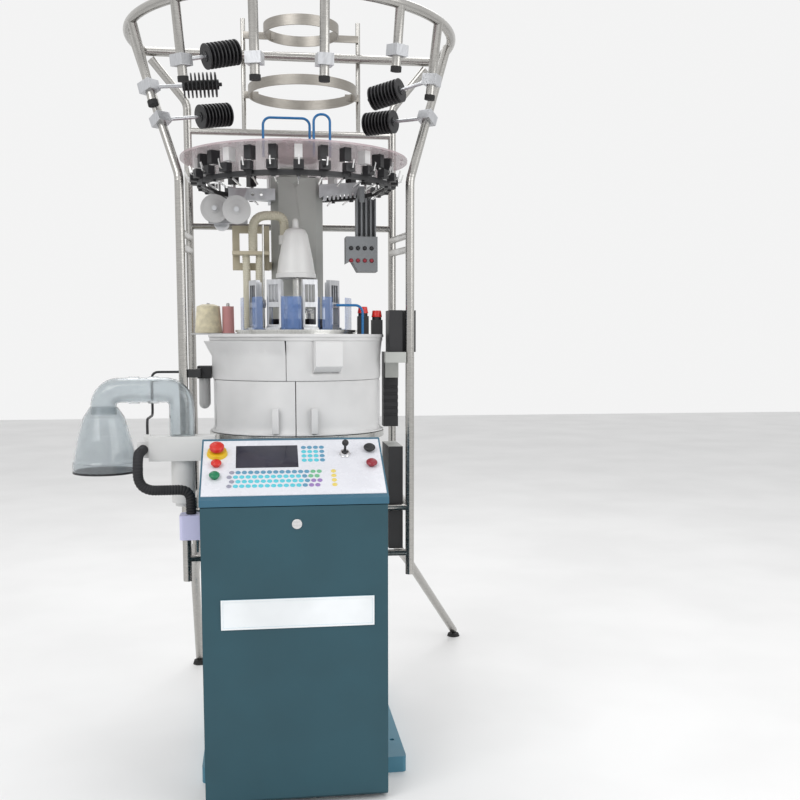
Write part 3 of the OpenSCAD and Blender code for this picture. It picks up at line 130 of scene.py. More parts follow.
# ---------------------------------------------------------------- finishes
class Finish:
    """A material's node tree with a Principled shader and Object coordinates."""

    def __init__(self, name, base, rough=0.5, metal=0.0, **sockets):
        self.mat = bpy.data.materials.new(name)
        self.mat.use_nodes = True
        self.tree = self.mat.node_tree
        self.bsdf = self.tree.nodes["Principled BSDF"]
        self.base = base
        self.put("Base Color", (*base, 1.0))
        self.put("Roughness", rough)
        self.put("Metallic", metal)
        for key, value in sockets.items():
            self.put(key.replace("_", " "), value)
        self.coords = self.add("ShaderNodeTexCoord").outputs["Object"]

    def put(self, socket, value):
        """Sets a value of the shader."""
        self.bsdf.inputs[socket].default_value = value

    def add(self, kind, **settings):
        """A new node with its settings."""
        node = self.tree.nodes.new(kind)
        for key, value in settings.items():
            setattr(node, key, value)
        return node

    def link(self, a, b):
        """Joins an output to an input."""
        self.tree.links.new(a, b)

    def noise(self, scale, detail=3.0, stretch=(1, 1, 1)):
        """Noise on the object's own coordinates, stretched along its axes."""
        place = self.add("ShaderNodeMapping")
        place.inputs["Scale"].default_value = stretch
        self.link(self.coords, place.inputs["Vector"])
        node = self.add("ShaderNodeTexNoise")
        node.inputs["Scale"].default_value = scale
        node.inputs["Detail"].default_value = detail
        self.link(place.outputs[0], node.inputs["Vector"])
        return node.outputs["Fac"]

    def ramp(self, fac, low, high, a=0.35, b=0.65):
        """Colour that runs from low at a to high at b."""
        node = self.add("ShaderNodeValToRGB")
        first, last = node.color_ramp.elements
        first.position, last.position = a, b
        first.color, last.color = (*low, 1), (*high, 1)
        self.link(fac, node.inputs[0])
        return node.outputs[0]

    def vary(self, amount, scale, **kw):
        """Base colour that drifts between a darker and a lighter tone."""
        low = [c * (1 - amount) for c in self.base]
        high = [min(1.0, c * (1 + amount)) for c in self.base]
        self.link(self.ramp(self.noise(scale, **kw), low, high), self.bsdf.inputs["Base Color"])
        return self

    def gloss(self, low, high, scale, **kw):
        """Roughness that drifts between low and high."""
        node = self.add("ShaderNodeMapRange")
        node.inputs["To Min"].default_value, node.inputs["To Max"].default_value = low, high
        self.link(self.noise(scale, **kw), node.inputs["Value"])
        self.link(node.outputs[0], self.bsdf.inputs["Roughness"])
        return self

    def bump(self, scale, height, strength=0.3, **kw):
        """Fine relief of the given height in metres."""
        node = self.add("ShaderNodeBump")
        node.inputs["Strength"].default_value = strength
        node.inputs["Distance"].default_value = height
        self.link(self.noise(scale, **kw), node.inputs["Height"])
        self.link(node.outputs[0], self.bsdf.inputs["Normal"])
        return self


def powder_coat(name, base, rough=0.42):
    """Sprayed paint: orange peel, slow drift of tone, patchy gloss."""
    made = Finish(name, base, rough).vary(0.07, 6).gloss(rough - 0.08, rough + 0.12, 18)
    return made.bump(900, 0.0003, 0.25).mat


def steel(name, base, rough=0.3, grain=(1, 1, 30)):
    """Ground or drawn steel: fine scratches along one direction."""
    made = Finish(name, base, rough, 1.0).vary(0.1, 40, stretch=grain)
    made.gloss(rough - 0.1, rough + 0.14, 60, stretch=grain)
    return made.bump(220, 0.0002, 0.2, stretch=grain).mat


def moulded(name, base, rough=0.4):
    """Moulded plastic with a fine grain."""
    made = Finish(name, base, rough).vary(0.025, 12).gloss(rough - 0.06, rough + 0.1, 45)
    return made.bump(1400, 0.0002, 0.15).mat


def clear(name, base, rough=0.08, alpha=0.35):
    """Clear sheet or moulding with light scuffs."""
    made = Finish(name, base, rough, IOR=1.45, Alpha=alpha)
    return made.vary(0.04, 9).gloss(rough, rough + 0.16, 30).mat


def glass(name, base, rough=0.06):
    """Clear moulding with thick walls that bend the light."""
    made = Finish(name, base, rough, IOR=1.4, Transmission_Weight=0.94)
    return made.vary(0.06, 9).gloss(rough, rough + 0.12, 26).mat


def rubber(name, base):
    """Matt rubber with a coarse grain."""
    return Finish(name, base, 0.75).vary(0.15, 25).bump(700, 0.0004, 0.4).mat


def yarn_finish(name, base):
    """Wound yarn: fine crossing threads on the cone's own coordinates."""
    made = Finish(name, base, 0.85, Sheen_Weight=0.3).vary(0.12, 60)
    return made.bump(500, 0.0008, 0.6, stretch=(1, 1, 8)).mat


def dark_glass(name, base):
    """Coated glass of the screen."""
    return Finish(name, base, 0.12, Coat_Weight=0.5).vary(0.3, 8).gloss(0.08, 0.2, 20).mat


MATS = {}


def make_finishes(c):
    """Every finish of the machine, by its plain name; c holds the colours that the panel can change."""
    MATS.update(
        cabinet=powder_coat("cabinet_teal", tuple(c.cabinet)),
        console=powder_coat("console_blue", tuple(c.console)),
        base=powder_coat("base_blue", tuple(c.base)),
        housing=powder_coat("housing_enamel", tuple(c.housing), 0.35),
        column=powder_coat("column_grey", tuple(c.column)),
        frame=powder_coat("frame_grey", (0.03, 0.04, 0.05)),
        beige=powder_coat("bracket_beige", (0.5, 0.45, 0.33)),
        box_black=powder_coat("box_black", (0.018, 0.018, 0.02), 0.5),
        white=moulded("white_shell", (0.7, 0.7, 0.69), 0.3),
        panel=moulded("panel_white", (0.74, 0.75, 0.8), 0.25),
        screen=dark_glass("screen_glass", (0.014, 0.014, 0.03)),
        pale_plate=powder_coat("plate_white", (0.82, 0.85, 0.87), 0.3),
        plate_rim=powder_coat("plate_rim_blue", (0.25, 0.5, 0.62), 0.35),
        tube=steel("creel_tube_steel", (0.44, 0.43, 0.41), 0.24),
        ground=steel("ground_steel", tuple(c.steel), 0.26, (30, 1, 1)),
        zinc=steel("zinc_plate", (0.5, 0.5, 0.5), 0.38),
        gear=steel("gear_steel", (0.42, 0.42, 0.42), 0.32),
        chrome=steel("polished_chrome", (0.75, 0.75, 0.75), 0.12),
        strap=steel("strap_steel", (0.34, 0.32, 0.29), 0.4),
        cast=powder_coat("cast_grey", (0.2, 0.21, 0.22), 0.5),
        alloy=steel("clamp_alloy", (0.55, 0.56, 0.58), 0.33, (1, 20, 1)),
        dark_steel=steel("dark_steel", (0.05, 0.05, 0.06), 0.4),
        lint=moulded("lint_box_lavender", (0.56, 0.56, 0.78), 0.35),
        black=moulded("black_moulding", (0.014, 0.014, 0.016), 0.45),
        rubber=rubber("black_rubber", (0.012, 0.012, 0.012)),
        hose=moulded("cream_hose", tuple(c.hose), 0.5),
        ribbed=rubber("ribbed_black_hose", (0.016, 0.016, 0.018)),
        blue_tube=moulded("air_tube_blue", (0.01, 0.14, 0.36), 0.2),
        disc=clear("clear_disc", tuple(c.disc), 0.12, 0.62),
        guard=clear("guard_clear", (0.16, 0.27, 0.55), 0.08, 0.36),
        jar=glass("jar_clear", (0.78, 0.82, 0.84)),
        wheel=moulded("wheel_grey", (0.5, 0.5, 0.5), 0.35),
        yarn=yarn_finish("cream_yarn", (0.7, 0.64, 0.47)),
        pink_card=moulded("pink_card_tube", (0.62, 0.3, 0.3), 0.8),
        red=moulded("button_red", (0.6, 0.02, 0.012), 0.25),
        dark_red=moulded("button_dark_red", (0.26, 0.016, 0.03), 0.3),
        green=moulded("button_green", (0.005, 0.19, 0.08), 0.25),
        yellow=moulded("collar_yellow", (0.75, 0.5, 0.02), 0.35),
        white_bit=moulded("white_ceramic_eye", (0.8, 0.8, 0.8), 0.2),
        key_turquoise=moulded("key_turquoise", (0.1, 0.56, 0.66), 0.3),
        key_blue=moulded("key_grey_blue", (0.11, 0.3, 0.45), 0.3),
        key_grey=moulded("key_grey", (0.3, 0.3, 0.38), 0.3),
        key_green=moulded("key_green", (0.16, 0.46, 0.26), 0.3),
        key_purple=moulded("key_purple", (0.3, 0.19, 0.46), 0.3),
        key_yellow=moulded("key_yellow", (0.75, 0.6, 0.15), 0.3))


# ---------------------------------------------------------------- surfaces
def grid_faces(rows, cols, wrap_u=False, wrap_v=False):
    """Quads of a rows by cols grid of points, joined round where asked."""
    r = np.arange(rows if wrap_u else rows - 1)[:, None]
    c = np.arange(cols if wrap_v else cols - 1)[None, :]
    r1, c1 = (r + 1) % rows, (c + 1) % cols
    return np.stack([r * cols + c, r * cols + c1, r1 * cols + c1, r1 * cols + c], -1).reshape(-1, 4)


def piece(name, points, faces, finishes, stands_for=(), slot=None, index=None, flip=False):
    """A finished fixed object at the origin from an (n, 3) array of points and an array of quads.

    index holds each face's number in finishes, and flip turns the faces round.
    """
    mesh = bpy.data.meshes.new(name)
    mesh.from_pydata(points, [], (faces[:, ::-1] if flip else faces).tolist())
    for key in finishes:
        mesh.materials.append(MATS[key])
    if index is not None:
        mesh.polygons.foreach_set("material_index", index.astype(np.int32))
    mesh.shade_smooth()
    mesh.set_sharp_from_angle(angle=PIECE_SHARP)
    obj = bpy.data.objects.new(name, mesh)
    bpy.context.scene.collection.objects.link(obj)
    return settle(obj, FIXED, stands_for)


def settle(obj, body, stands_for):
    """Ties an object to its body and hides the nodes that it stands for."""
    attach(obj, body)
    if stands_for:
        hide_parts(*stands_for)
    return obj


def frames_along(path):
    """Unit tangents and two unit normals at each point, the normals turned as little as possible."""
    t = np.gradient(path, axis=0)
    t /= np.linalg.norm(t, axis=1)[:, None]
    first = np.cross(t[0], [0.3, 0.9, 0.1])
    n = np.empty_like(path)
    n[0] = first / np.linalg.norm(first)
    for i in range(1, len(path)):
        v = n[i - 1] - t[i] * (n[i - 1] @ t[i])
        n[i] = v / np.linalg.norm(v)
    return t, n, np.cross(t, n)


def rounded_path(points, bend, step):
    """Points every step metres along straight runs joined by quadratic bends, and their distance along it.

    A bend runs from u to v, both bend metres from the corner p: B(s) = (1-s)^2 u + 2 s (1-s) p + s^2 v.
    """
    p = np.asarray(points, float)
    out = [p[0]]
    for i in range(1, len(p) - 1):
        a, b = p[i - 1] - p[i], p[i + 1] - p[i]
        cut = min(bend, 0.48 * np.linalg.norm(a), 0.48 * np.linalg.norm(b))
        u, v = p[i] + a / np.linalg.norm(a) * cut, p[i] + b / np.linalg.norm(b) * cut
        s = np.linspace(0, 1, 13)[:, None]
        out.extend((1 - s) ** 2 * u + 2 * s * (1 - s) * p[i] + s ** 2 * v)
    out.append(p[-1])
    out = np.array(out)
    run = np.r_[0, np.cumsum(np.linalg.norm(np.diff(out, axis=0), axis=1))]
    at = np.linspace(0, run[-1], max(4, int(run[-1] / step)))
    return np.stack([np.interp(at, run, out[:, k]) for k in range(3)], 1), at


def tube_surface(path, radius, sides=20):
    """A circle at each path point, with closed ends: P(i, a) = path_i + r_i (cos a n_i + sin a b_i)."""
    t, n, b = frames_along(path)
    r = np.broadcast_to(radius, len(path)).copy()
    path = np.concatenate([path[:1], path, path[-1:]])
    n, b = np.concatenate([n[:1], n, n[-1:]]), np.concatenate([b[:1], b, b[-1:]])
    r = np.r_[1e-5, r, 1e-5]
    a = np.linspace(0, 2 * np.pi, sides, endpoint=False)
    ring = np.cos(a)[None, :, None] * n[:, None] + np.sin(a)[None, :, None] * b[:, None]
    return (path[:, None] + r[:, None, None] * ring).reshape(-1, 3), grid_faces(len(path), sides, wrap_v=True)


def lathe(profile, sides=24):
    """Profile [radius, height] turned about Z: P(i, a) = (r_i cos a, r_i sin a, z_i)."""
    p = np.asarray(profile, float)
    a = np.linspace(0, 2 * np.pi, sides, endpoint=False)
    pts = np.stack([p[:, :1] * np.cos(a), p[:, :1] * np.sin(a), np.repeat(p[:, 1:], sides, 1)], -1)
    return pts.reshape(-1, 3), grid_faces(len(p), sides, wrap_v=True)


def copies(points, faces, frames):
    """The surface placed once in each 3 by 4 frame: one array of points, one of faces."""
    m = np.asarray(frames, float)
    pts = np.einsum("kij,nj->kni", m[:, :, :3], points) + m[:, None, :, 3]
    step = (np.arange(len(m)) * len(points))[:, None, None]
    return pts.reshape(-1, 3), (faces[None] + step).reshape(-1, 4)


def turned(places, direction, profile, sides):
    """A turned profile at each place, its axis along the given direction."""
    return copies(*lathe(profile, sides), facing(places, direction))


def facing(origins, direction):
    """Frames whose +Z is the given direction, at each origin."""
    z = np.asarray(direction, float)
    z = z / np.linalg.norm(z)
    x = np.cross([0, 1, 0] if abs(z[1]) < 0.9 else [1, 0, 0], z)
    x /= np.linalg.norm(x)
    r = np.stack([x, np.cross(z, x), z], 1)
    return [np.c_[r, np.asarray(o, float)] for o in origins]


def tidy_mesh(mesh):
    """Merges doubled points and turns all faces outwards."""
    bm = bmesh.new()
    bm.from_mesh(mesh)
    bmesh.ops.remove_doubles(bm, verts=bm.verts, dist=SAME_POINT)
    bmesh.ops.recalc_face_normals(bm, faces=bm.faces)
    bm.to_mesh(mesh)
    bm.free()


def dressed(node, edge, finishes, regions=()):
    """A copy of a solid's skin, merged, with rounded edges.

    regions are pairs: the number of a finish, and a test on arrays of face centres and normals.
    """
    src = NODES[node]
    mesh = src.data.copy()
    bm = bmesh.new()
    bm.from_mesh(mesh)
    bmesh.ops.remove_doubles(bm, verts=bm.verts, dist=SAME_POINT)
    bmesh.ops.dissolve_limit(bm, angle_limit=FLAT, verts=bm.verts, edges=bm.edges)
    bm.to_mesh(mesh)
    bm.free()
    mesh.materials.clear()
    for key in finishes:
        mesh.materials.append(MATS[key])
    n = len(mesh.polygons)
    index = np.zeros(n, np.int32)
    centres, normals = np.empty(n * 3, np.float32), np.empty(n * 3, np.float32)
    mesh.polygons.foreach_get("center", centres)
    mesh.polygons.foreach_get("normal", normals)
    for number, test in regions:
        index[test(centres.reshape(-1, 3), normals.reshape(-1, 3))] = number
    mesh.polygons.foreach_set("material_index", index)
    mesh.shade_smooth()
    mesh.set_sharp_from_angle(angle=SKIN_SHARP)
    obj = bpy.data.objects.new(node + "_skin", mesh)
    bpy.context.scene.collection.objects.link(obj)
    if edge:
        bevel = obj.modifiers.new("edges", "BEVEL")
        bevel.width, bevel.segments = edge, 2
        bevel.limit_method, bevel.angle_limit = "ANGLE", ROUND_FROM
        bevel.harden_normals = True
    return settle(obj, src["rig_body"], (node,))


def within(lo, hi):
    """Test for faces whose centre lies in a box, in millimetres."""
    lo, hi = np.array(lo) * MM, np.array(hi) * MM
    return lambda c, n: np.all((c > lo) & (c < hi), axis=1)


def plain(node, finish):
    """Gives a solid that is right as it is its finish."""
    mesh = NODES[node].data
    mesh.materials.clear()
    mesh.materials.append(MATS[finish])


# ---------------------------------------------------------------- operators
class MachineStep:
    """What the operators share."""
    bl_options = {"REGISTER", "UNDO"}


class SOCK_OT_finishes(MachineStep, Operator):
    """Makes the paints, metals, plastics and yarn of the machine"""
    bl_idname = "sock.finishes"
    bl_label = "Finishes"

    def execute(self, context):
        make_finishes(context.scene.sock_colours)
        return {"FINISHED"}


class SOCK_OT_base(MachineStep, Operator):
    """Base plate, pedestal, table and drive"""
    bl_idname = "sock.base"
    bl_label = "Base and drive"

    def execute(self, context):
        e = context.scene.sock_sizes.edge
        dressed("base_plate", e * 2, ["base"])
        dressed("pedestal", e, ["frame"])
        dressed("table_plate", e, ["ground"])
        plain("cabinet_feet", "zinc")
        plain("drive_motor", "box_black")
        plain("pinion", "gear")
        plain("head_frame", "cast")
        plain("cylinder_gear", "gear")
        return {"FINISHED"}


# Width of the front plate's blue rim, and the plane that the black modules stand in front of.
PLATE_RIM = 0.0056
MODULES_Y = -0.2475


class SOCK_OT_cabinet(MachineStep, Operator):
    """Control cabinet with its door, front plate and lock"""
    bl_idname = "sock.cabinet"
    bl_label = "Cabinet"

    def execute(self, context):
        e = context.scene.sock_sizes.edge
        dressed("cabinet_body", e, ["cabinet"])
        dressed("cabinet_door", e, ["cabinet"])
        dressed("front_plate", THIN_EDGE, ["plate_rim", "pale_plate"], [(1, self.plate_face)])
        dressed("door_lock", THIN_EDGE, ["chrome"])
        dressed("control_chassis", SMALL_EDGE, ["zinc", "box_black"], [(1, self.modules)])
        return {"FINISHED"}

    @staticmethod
    def plate_face(c, n):
        """The bare face of the front plate inside its rim."""
        lo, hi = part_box("front_plate")
        across = abs(c[:, 0] - (lo.x + hi.x) / 2) < (hi.x - lo.x) / 2 - PLATE_RIM
        up = abs(c[:, 2] - (lo.z + hi.z) / 2) < (hi.z - lo.z) / 2 - PLATE_RIM
        return across & up & (n[:, 1] < -0.5)

    @staticmethod
    def modules(c, n):
        """The black modules in front of the chassis plate."""
        return c[:, 1] < MODULES_Y


# Lower edge of the key panel, its slope, its directions across, up and outwards, and its thickness
# in millimetres.
PANEL_AT = np.array([-0.025, -0.485, 0.762])
TILT = radians(31)
PANEL_X = np.array([1.0, 0.0, 0.0])
PANEL_Y = np.array([0.0, np.cos(TILT), np.sin(TILT)])
PANEL_Z = np.array([0.0, -np.sin(TILT), np.cos(TILT)])
PANEL_T = 2.0

# Keys, in millimetres on the panel: the first key of the pad and of the rows, and the pitches.
PAD_AT, PAD_KEYS, PAD_PITCH = (28, 147), 4, 17.5
ROWS_AT, ROW_KEYS, ROWS, ROW_PITCH = (-156, 49), 15, 4, 17.6
KEY_PITCH = 15.2
ROW_SHIFT = 6
YELLOW_X = 98


def on_panel(x, y):
    """Millimetres on the sloping key panel to a point of the machine."""
    return PANEL_AT + (PANEL_X * x + PANEL_Y * y + PANEL_Z * PANEL_T) * MM


class SOCK_OT_console(MachineStep, Operator):
    """Console with its panel, screen, keys, buttons and toggle"""
    bl_idname = "sock.console"
    bl_label = "Console"

    def execute(self, context):
        e = context.scene.sock_sizes.edge
        dressed("console_housing", e * 1.5, ["console"])
        dressed("key_panel", SMALL_EDGE, ["panel"])
        dressed("display", THIN_EDGE, ["screen"])
        controls = {"estop_collar": "yellow", "estop_button": "red", "stop_button": "red",
                    "start_button": "green", "black_button": "black", "red_button": "dark_red",
                    "toggle_collar": "chrome", "toggle_lever": "black"}
        for node, finish in controls.items():
            dressed(node, SMALL_EDGE, [finish])
        self.keys(context.scene.sock_sizes.key_radius)
        return {"FINISHED"}

    def keys(self, r):
        """Domed round keys: a profile turned about each key's own axis, coloured by row and column."""
        profile = [[1e-5, 0.0], [r, 0.0], [r, 0.0008], [r * 0.9, 0.0014], [r * 0.7, 0.0018], [r * 0.35, 0.002],
                   [1e-5, 0.002]]
        pts, faces = lathe(profile, 20)
        places, kinds = [], []
        for i in range(PAD_KEYS):
            for j in range(PAD_KEYS):
                places.append(on_panel(PAD_AT[0] + i * KEY_PITCH, PAD_AT[1] + j * PAD_PITCH))
                kinds.append("key_blue" if i == 3 or j == 3 else "key_turquoise")
        for j in range(ROWS):
            for i in range(ROW_KEYS):
                x = ROWS_AT[0] + ROW_SHIFT * (j % 2) + i * KEY_PITCH
                places.append(on_panel(x, ROWS_AT[1] + j * ROW_PITCH))
                right = "key_green" if j > 1 else "key_purple"
                middle = "key_blue" if j == 3 or i == 12 else "key_turquoise"
                kinds.append("key_grey" if i == 0 else right if i > 12 else middle)
            places.append(on_panel(YELLOW_X, ROWS_AT[1] + j * ROW_PITCH))
            kinds.append("key_yellow")
        names = sorted(set(kinds))
        all_pts, all_faces = copies(pts, faces, facing(places, PANEL_Z))
        index = np.repeat([names.index(k) for k in kinds], len(faces))
        piece("keys", all_pts, all_faces, names, ["key_set"], "key_blue", index)


class SOCK_OT_head(MachineStep, Operator):
    """Housing, cylinder, dial, feed frames and guards"""
    bl_idname = "sock.head"
    bl_label = "Knitting head"

    def execute(self, context):
        e = context.scene.sock_sizes.edge
        for node in ("housing_shell", "skirt_door_left", "skirt_door_right", "upper_cover_left",
                     "upper_cover_right", "bed_plate"):
            dressed(node, e, ["housing"])
        dressed("head_plate", e, ["ground"])
        dressed("feed_units", SMALL_EDGE, ["alloy"])
        plain("needle_cylinder", "ground")
        plain("needles", "chrome")
        plain("dial", "ground")
        plain("cam_ring", "dark_steel")
        plain("needle_guards", "guard")
        dressed("bell_hood", SMALL_EDGE, ["white"])
        return {"FINISHED"}


# Yarn fingers, as in the solids: the carrier ring and its stations, how far in and out the bent wires start,
# the posts over the ring, and the level above which the head blocks lie.
RING_R = 0.262
STATIONS = 26
WIRES_IN, WIRES_OUT = 0.0145, 0.0248
POST_R, POST_LOW, POST_HIGH = 0.0056, 1.567, 1.592
HEADS_Z = 1.5925

# Hose ports of the valve bank: first port, pitch across, and the heights of the two rows.
PORT_X, PORT_Y, PORT_PITCH, PORTS = 0.152, -0.0275, 0.019, 4
PORT_ROWS = (1.358, 1.392)


class SOCK_OT_column(MachineStep, Operator):
    """Column, disc, finger ring, arms, valves and air tubes"""
    bl_idname = "sock.column"
    bl_label = "Column and disc"

    def execute(self, context):
        e = context.scene.sock_sizes.edge
        dressed("column", e * 1.6, ["column"])
        plain("yarn_disc", "disc")
        dressed("yarn_fingers", THIN_EDGE, ["black", "chrome", "white_bit"], [(1, self.hooks), (2, self.heads)])
        plain("air_tubes", "blue_tube")
        dressed("feeder_arms", SMALL_EDGE, ["alloy"])
        plain("feeder_wheel_left", "wheel")
        plain("feeder_wheel_right", "wheel")
        dressed("valve_bank", CAST_EDGE, ["cast"])
        self.ports()
        dressed("hose_bracket", BRACKET_EDGE, ["beige", "ground"], [(1, self.lift_rod)])
        return {"FINISHED"}

    @staticmethod
    def lift_rod(c, n):
        """The steel rod in front of the hose bracket."""
        return c[:, 1] < 0.0

    @staticmethod
    def hooks(c, n):
        """Bent wires inside and outside the carrier ring, and the posts over it."""
        r = np.hypot(c[:, 0], c[:, 1])
        post = (abs(r - RING_R) < POST_R) & (c[:, 2] > POST_LOW) & (c[:, 2] < POST_HIGH)
        return (r < RING_R - WIRES_IN) | (r > RING_R + WIRES_OUT) | post

    @staticmethod
    def heads(c, n):
        """Every third head block is white."""
        station = np.degrees(np.arctan2(c[:, 1], c[:, 0])) % 360 * STATIONS // 360
        return (c[:, 2] > HEADS_Z) & (station % 3 == 1)

    def ports(self):
        """Hose ports in two rows of the valve bank, a turned profile facing forwards."""
        profile = [[1e-5, 0.0], [0.0055, 0.0], [0.0055, 0.014], [0.0038, 0.0165], [1e-5, 0.0165]]
        places = [(PORT_X + i * PORT_PITCH, PORT_Y, z) for z in PORT_ROWS for i in range(PORTS)]
        pts, faces = turned(places, (0, -1, 0), profile, 16)
        row = np.repeat([0, 1], len(faces) // 2)
        piece("valve_ports", pts, faces, ["dark_red", "black"], slot=SLOT_OF["valve_bank"], index=row)


# Outer ends of the five cone holders, in millimetres. The ribs reach about 100 mm back from them.
HOLDER_ENDS = ((-150, -150, 1876), (-205, -60, 1815), (-180, 60, 1764), (214, -20, 1800), (208, 80, 1752))
RIBS_REACH = 0.1


class SOCK_OT_creel(MachineStep, Operator):
    """Creel tubes, ring, hoops, clamps and cone holders"""
    bl_idname = "sock.creel"
    bl_label = "Creel"

    def execute(self, context):
        dressed("creel_frame", 0, ["tube"])
        dressed("top_ring", 0, ["tube"])
        plain("rubber_caps", "rubber")
        dressed("yarn_hoops", THIN_EDGE, ["strap"])
        dressed("cone_holders", SMALL_EDGE, ["black", "alloy"], [(1, self.clamps)])
        return {"FINISHED"}

    @staticmethod
    def clamps(c, n):
        """Clamp blocks and rods, beyond the ribs of every holder."""
        ends = np.array(HOLDER_ENDS) * MM
        return np.linalg.norm(c[:, None] - ends, axis=2).min(1) > RIBS_REACH


# Lint box of the suction unit: two corners in millimetres.
LINT_BOX = ((-310, -332, 630), (-249, -268, 702))


class SOCK_OT_outlet(MachineStep, Operator):
    """Sock jar, flap, duct and suction unit"""
    bl_idname = "sock.outlet"
    bl_label = "Sock outlet"

    def execute(self, context):
        plain("sock_jar", "jar")
        dressed("jar_flap", CAST_EDGE, ["black"])
        plain("outlet_duct", "jar")
        dressed("suction_unit", ARM_BOX_EDGE, ["white", "lint"], [(1, within(*LINT_BOX))])
        return {"FINISHED"}


# Parts of the electric boxes with a finish of their own: finish number and two corners in millimetres.
BOX_PARTS = (
    (1, (260, -60, 520), (345, 220, 888)),          # pneumatic cabinet
    (1, (236, -130, 1074), (330, 30, 1107)),        # arm to the upright
    (2, (165, -77, 1211.5), (199, -43, 1232)),      # red caps of the two air valves
    (2, (205, -65, 1201.5), (239, -31, 1222)),
    (3, (-275, -24, 945), (-241, 52, 1031)),        # filter bowls
)

# Yarn on the shelf, in metres: the places of the cone and the tube, and the shelf's plate.
CONE_AT = (-0.251, 0.150)
TUBE_AT = (-0.194, 0.150)
SHELF_X1, SHELF_Y0, SHELF_Y1, SHELF_T = -0.150, 0.110, 0.194, 0.0038
SHELF_MID = (-0.225, 0.152)
SEAT_T = 0.004

# Winding of the cone: heights and radii of its foot and top, and the ripple's height and frequency.
WIND_Z, WIND_R = (0.004, 0.078), (0.0395, 0.0335)
RIPPLE, RIPPLE_K = 0.0004, 2600
CAP_BORE, CAPS = 0.012, ((0.0005, 0.038), (0.0838, 0.018))

# Turned profiles, radius and height: the bare card tube and a peg of the shelf.
CARD_TUBE = ((0.0135, 0), (0.0185, 0), (0.0185, 0.003), (0.0175, 0.0035), (0.0168, 0.076), (0.0172, 0.078),
             (0.0128, 0.078), (0.0135, 0))
PEG = ((1e-5, 0.001), (0.005, 0.001), (0.005, 0.09), (0.003, 0.092), (1e-5, 0.092))


class SOCK_OT_boxes(MachineStep, Operator):
    """Electric boxes, filters, valves and yarn on the shelf"""
    bl_idname = "sock.boxes"
    bl_label = "Boxes and yarn"

    def execute(self, context):
        e = context.scene.sock_sizes.edge
        parts = [(number, within(lo, hi)) for number, lo, hi in BOX_PARTS]
        dressed("electric_boxes", e, ["box_black", "column", "red", "wheel"], parts)
        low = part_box("yarn_cones")[0]
        self.cone(low.z + SEAT_T)
        self.card_tube(low.z + SEAT_T)
        self.shelf(low.x, low.z)
        return {"FINISHED"}

    def cone(self, z0):
        """Wound cone whose radius ripples with the yarn, r = r0 + h sin(k z + 3 a), and a cap at each end."""
        sides = 72
        z = np.linspace(*WIND_Z, 90)[:, None]
        a = np.linspace(0, 2 * np.pi, sides, endpoint=False)
        r = np.interp(z, WIND_Z, WIND_R) + RIPPLE * np.sin(z * RIPPLE_K + 3 * a)
        side = np.stack([r * np.cos(a), r * np.sin(a), np.repeat(z, sides, 1)], -1)
        foot, top = (lathe([[CAP_BORE, h], [edge, h]], sides)[0].reshape(2, sides, 3) for h, edge in CAPS)
        rings = np.concatenate([foot, side, top[1:], top[:1]])
        faces = grid_faces(len(rings), sides, wrap_u=True, wrap_v=True)
        pts = rings.reshape(-1, 3) + [*CONE_AT, z0]
        piece("wound_cone", pts, faces, ["yarn"], ["yarn_cones"], "cream_yarn")

    def card_tube(self, z0):
        """Bare card tube, a turned profile closed on itself."""
        pts, faces = lathe(CARD_TUBE, 40)
        piece("card_tube", pts + [*TUBE_AT, z0], faces, ["pink_card"], slot="cream_yarn")

    def shelf(self, x0, z0):
        """Shelf plate from four rings of corners, and its two pegs, a turned profile."""
        corners = np.array([[x0, SHELF_Y0], [SHELF_X1, SHELF_Y0], [SHELF_X1, SHELF_Y1], [x0, SHELF_Y1]])
        mids = np.repeat([SHELF_MID], 4, 0)
        z1 = z0 + SHELF_T
        levels = ((mids, z0), (corners, z0), (corners, z1), (mids, z1))
        rings = np.concatenate([np.c_[ring, np.full(4, h)] for ring, h in levels])
        plate = piece("cone_shelf", rings, grid_faces(4, 4, wrap_v=True), ["zinc"], slot="cream_yarn")
        tidy_mesh(plate.data)
        pegs = turned([(*CONE_AT, z0), (*TUBE_AT, z0)], (0, 0, 1), PEG, 20)
        piece("cone_pegs", *pegs, ["zinc"], slot="cream_yarn")


# Routes and radii of the hoses and the cable, in millimetres, as in the solids.
CREAM_HOSES = (([(-118, 36, 1386.3), (-118, 36, 1486), (-30, 36, 1486), (-30, 36, 1431.3)], 13),
               ([(-138, 44, 1375.7), (-136, 43, 1300), (-138, 44, 1166.2)], 11),
               ([(-100, 44, 1375.7), (-102, 43, 1300), (-100, 44, 1166.2)], 11))
BLACK_HOSE = ([(-410, -176.3, 852), (-410, -300, 852), (-410, -300, 762), (-281, -300, 762),
               (-281, -300, 700.3)], 13)
CABLE = ([(-401, -146, 890.3), (-401, -146, 930), (-401, -6, 930), (-401, -6, 1050), (-276.3, -6, 1050)], 3.5)
CREAM_BEND, BLACK_BEND, CABLE_BEND = 48, 55, 20

# Depth of the ribs as a share of the radius, and the black hose's rib pitch and the cable's step in metres.
CREAM_DEPTH, BLACK_DEPTH = 0.14, 0.16
BLACK_PITCH = 0.007
CABLE_STEP = 0.004


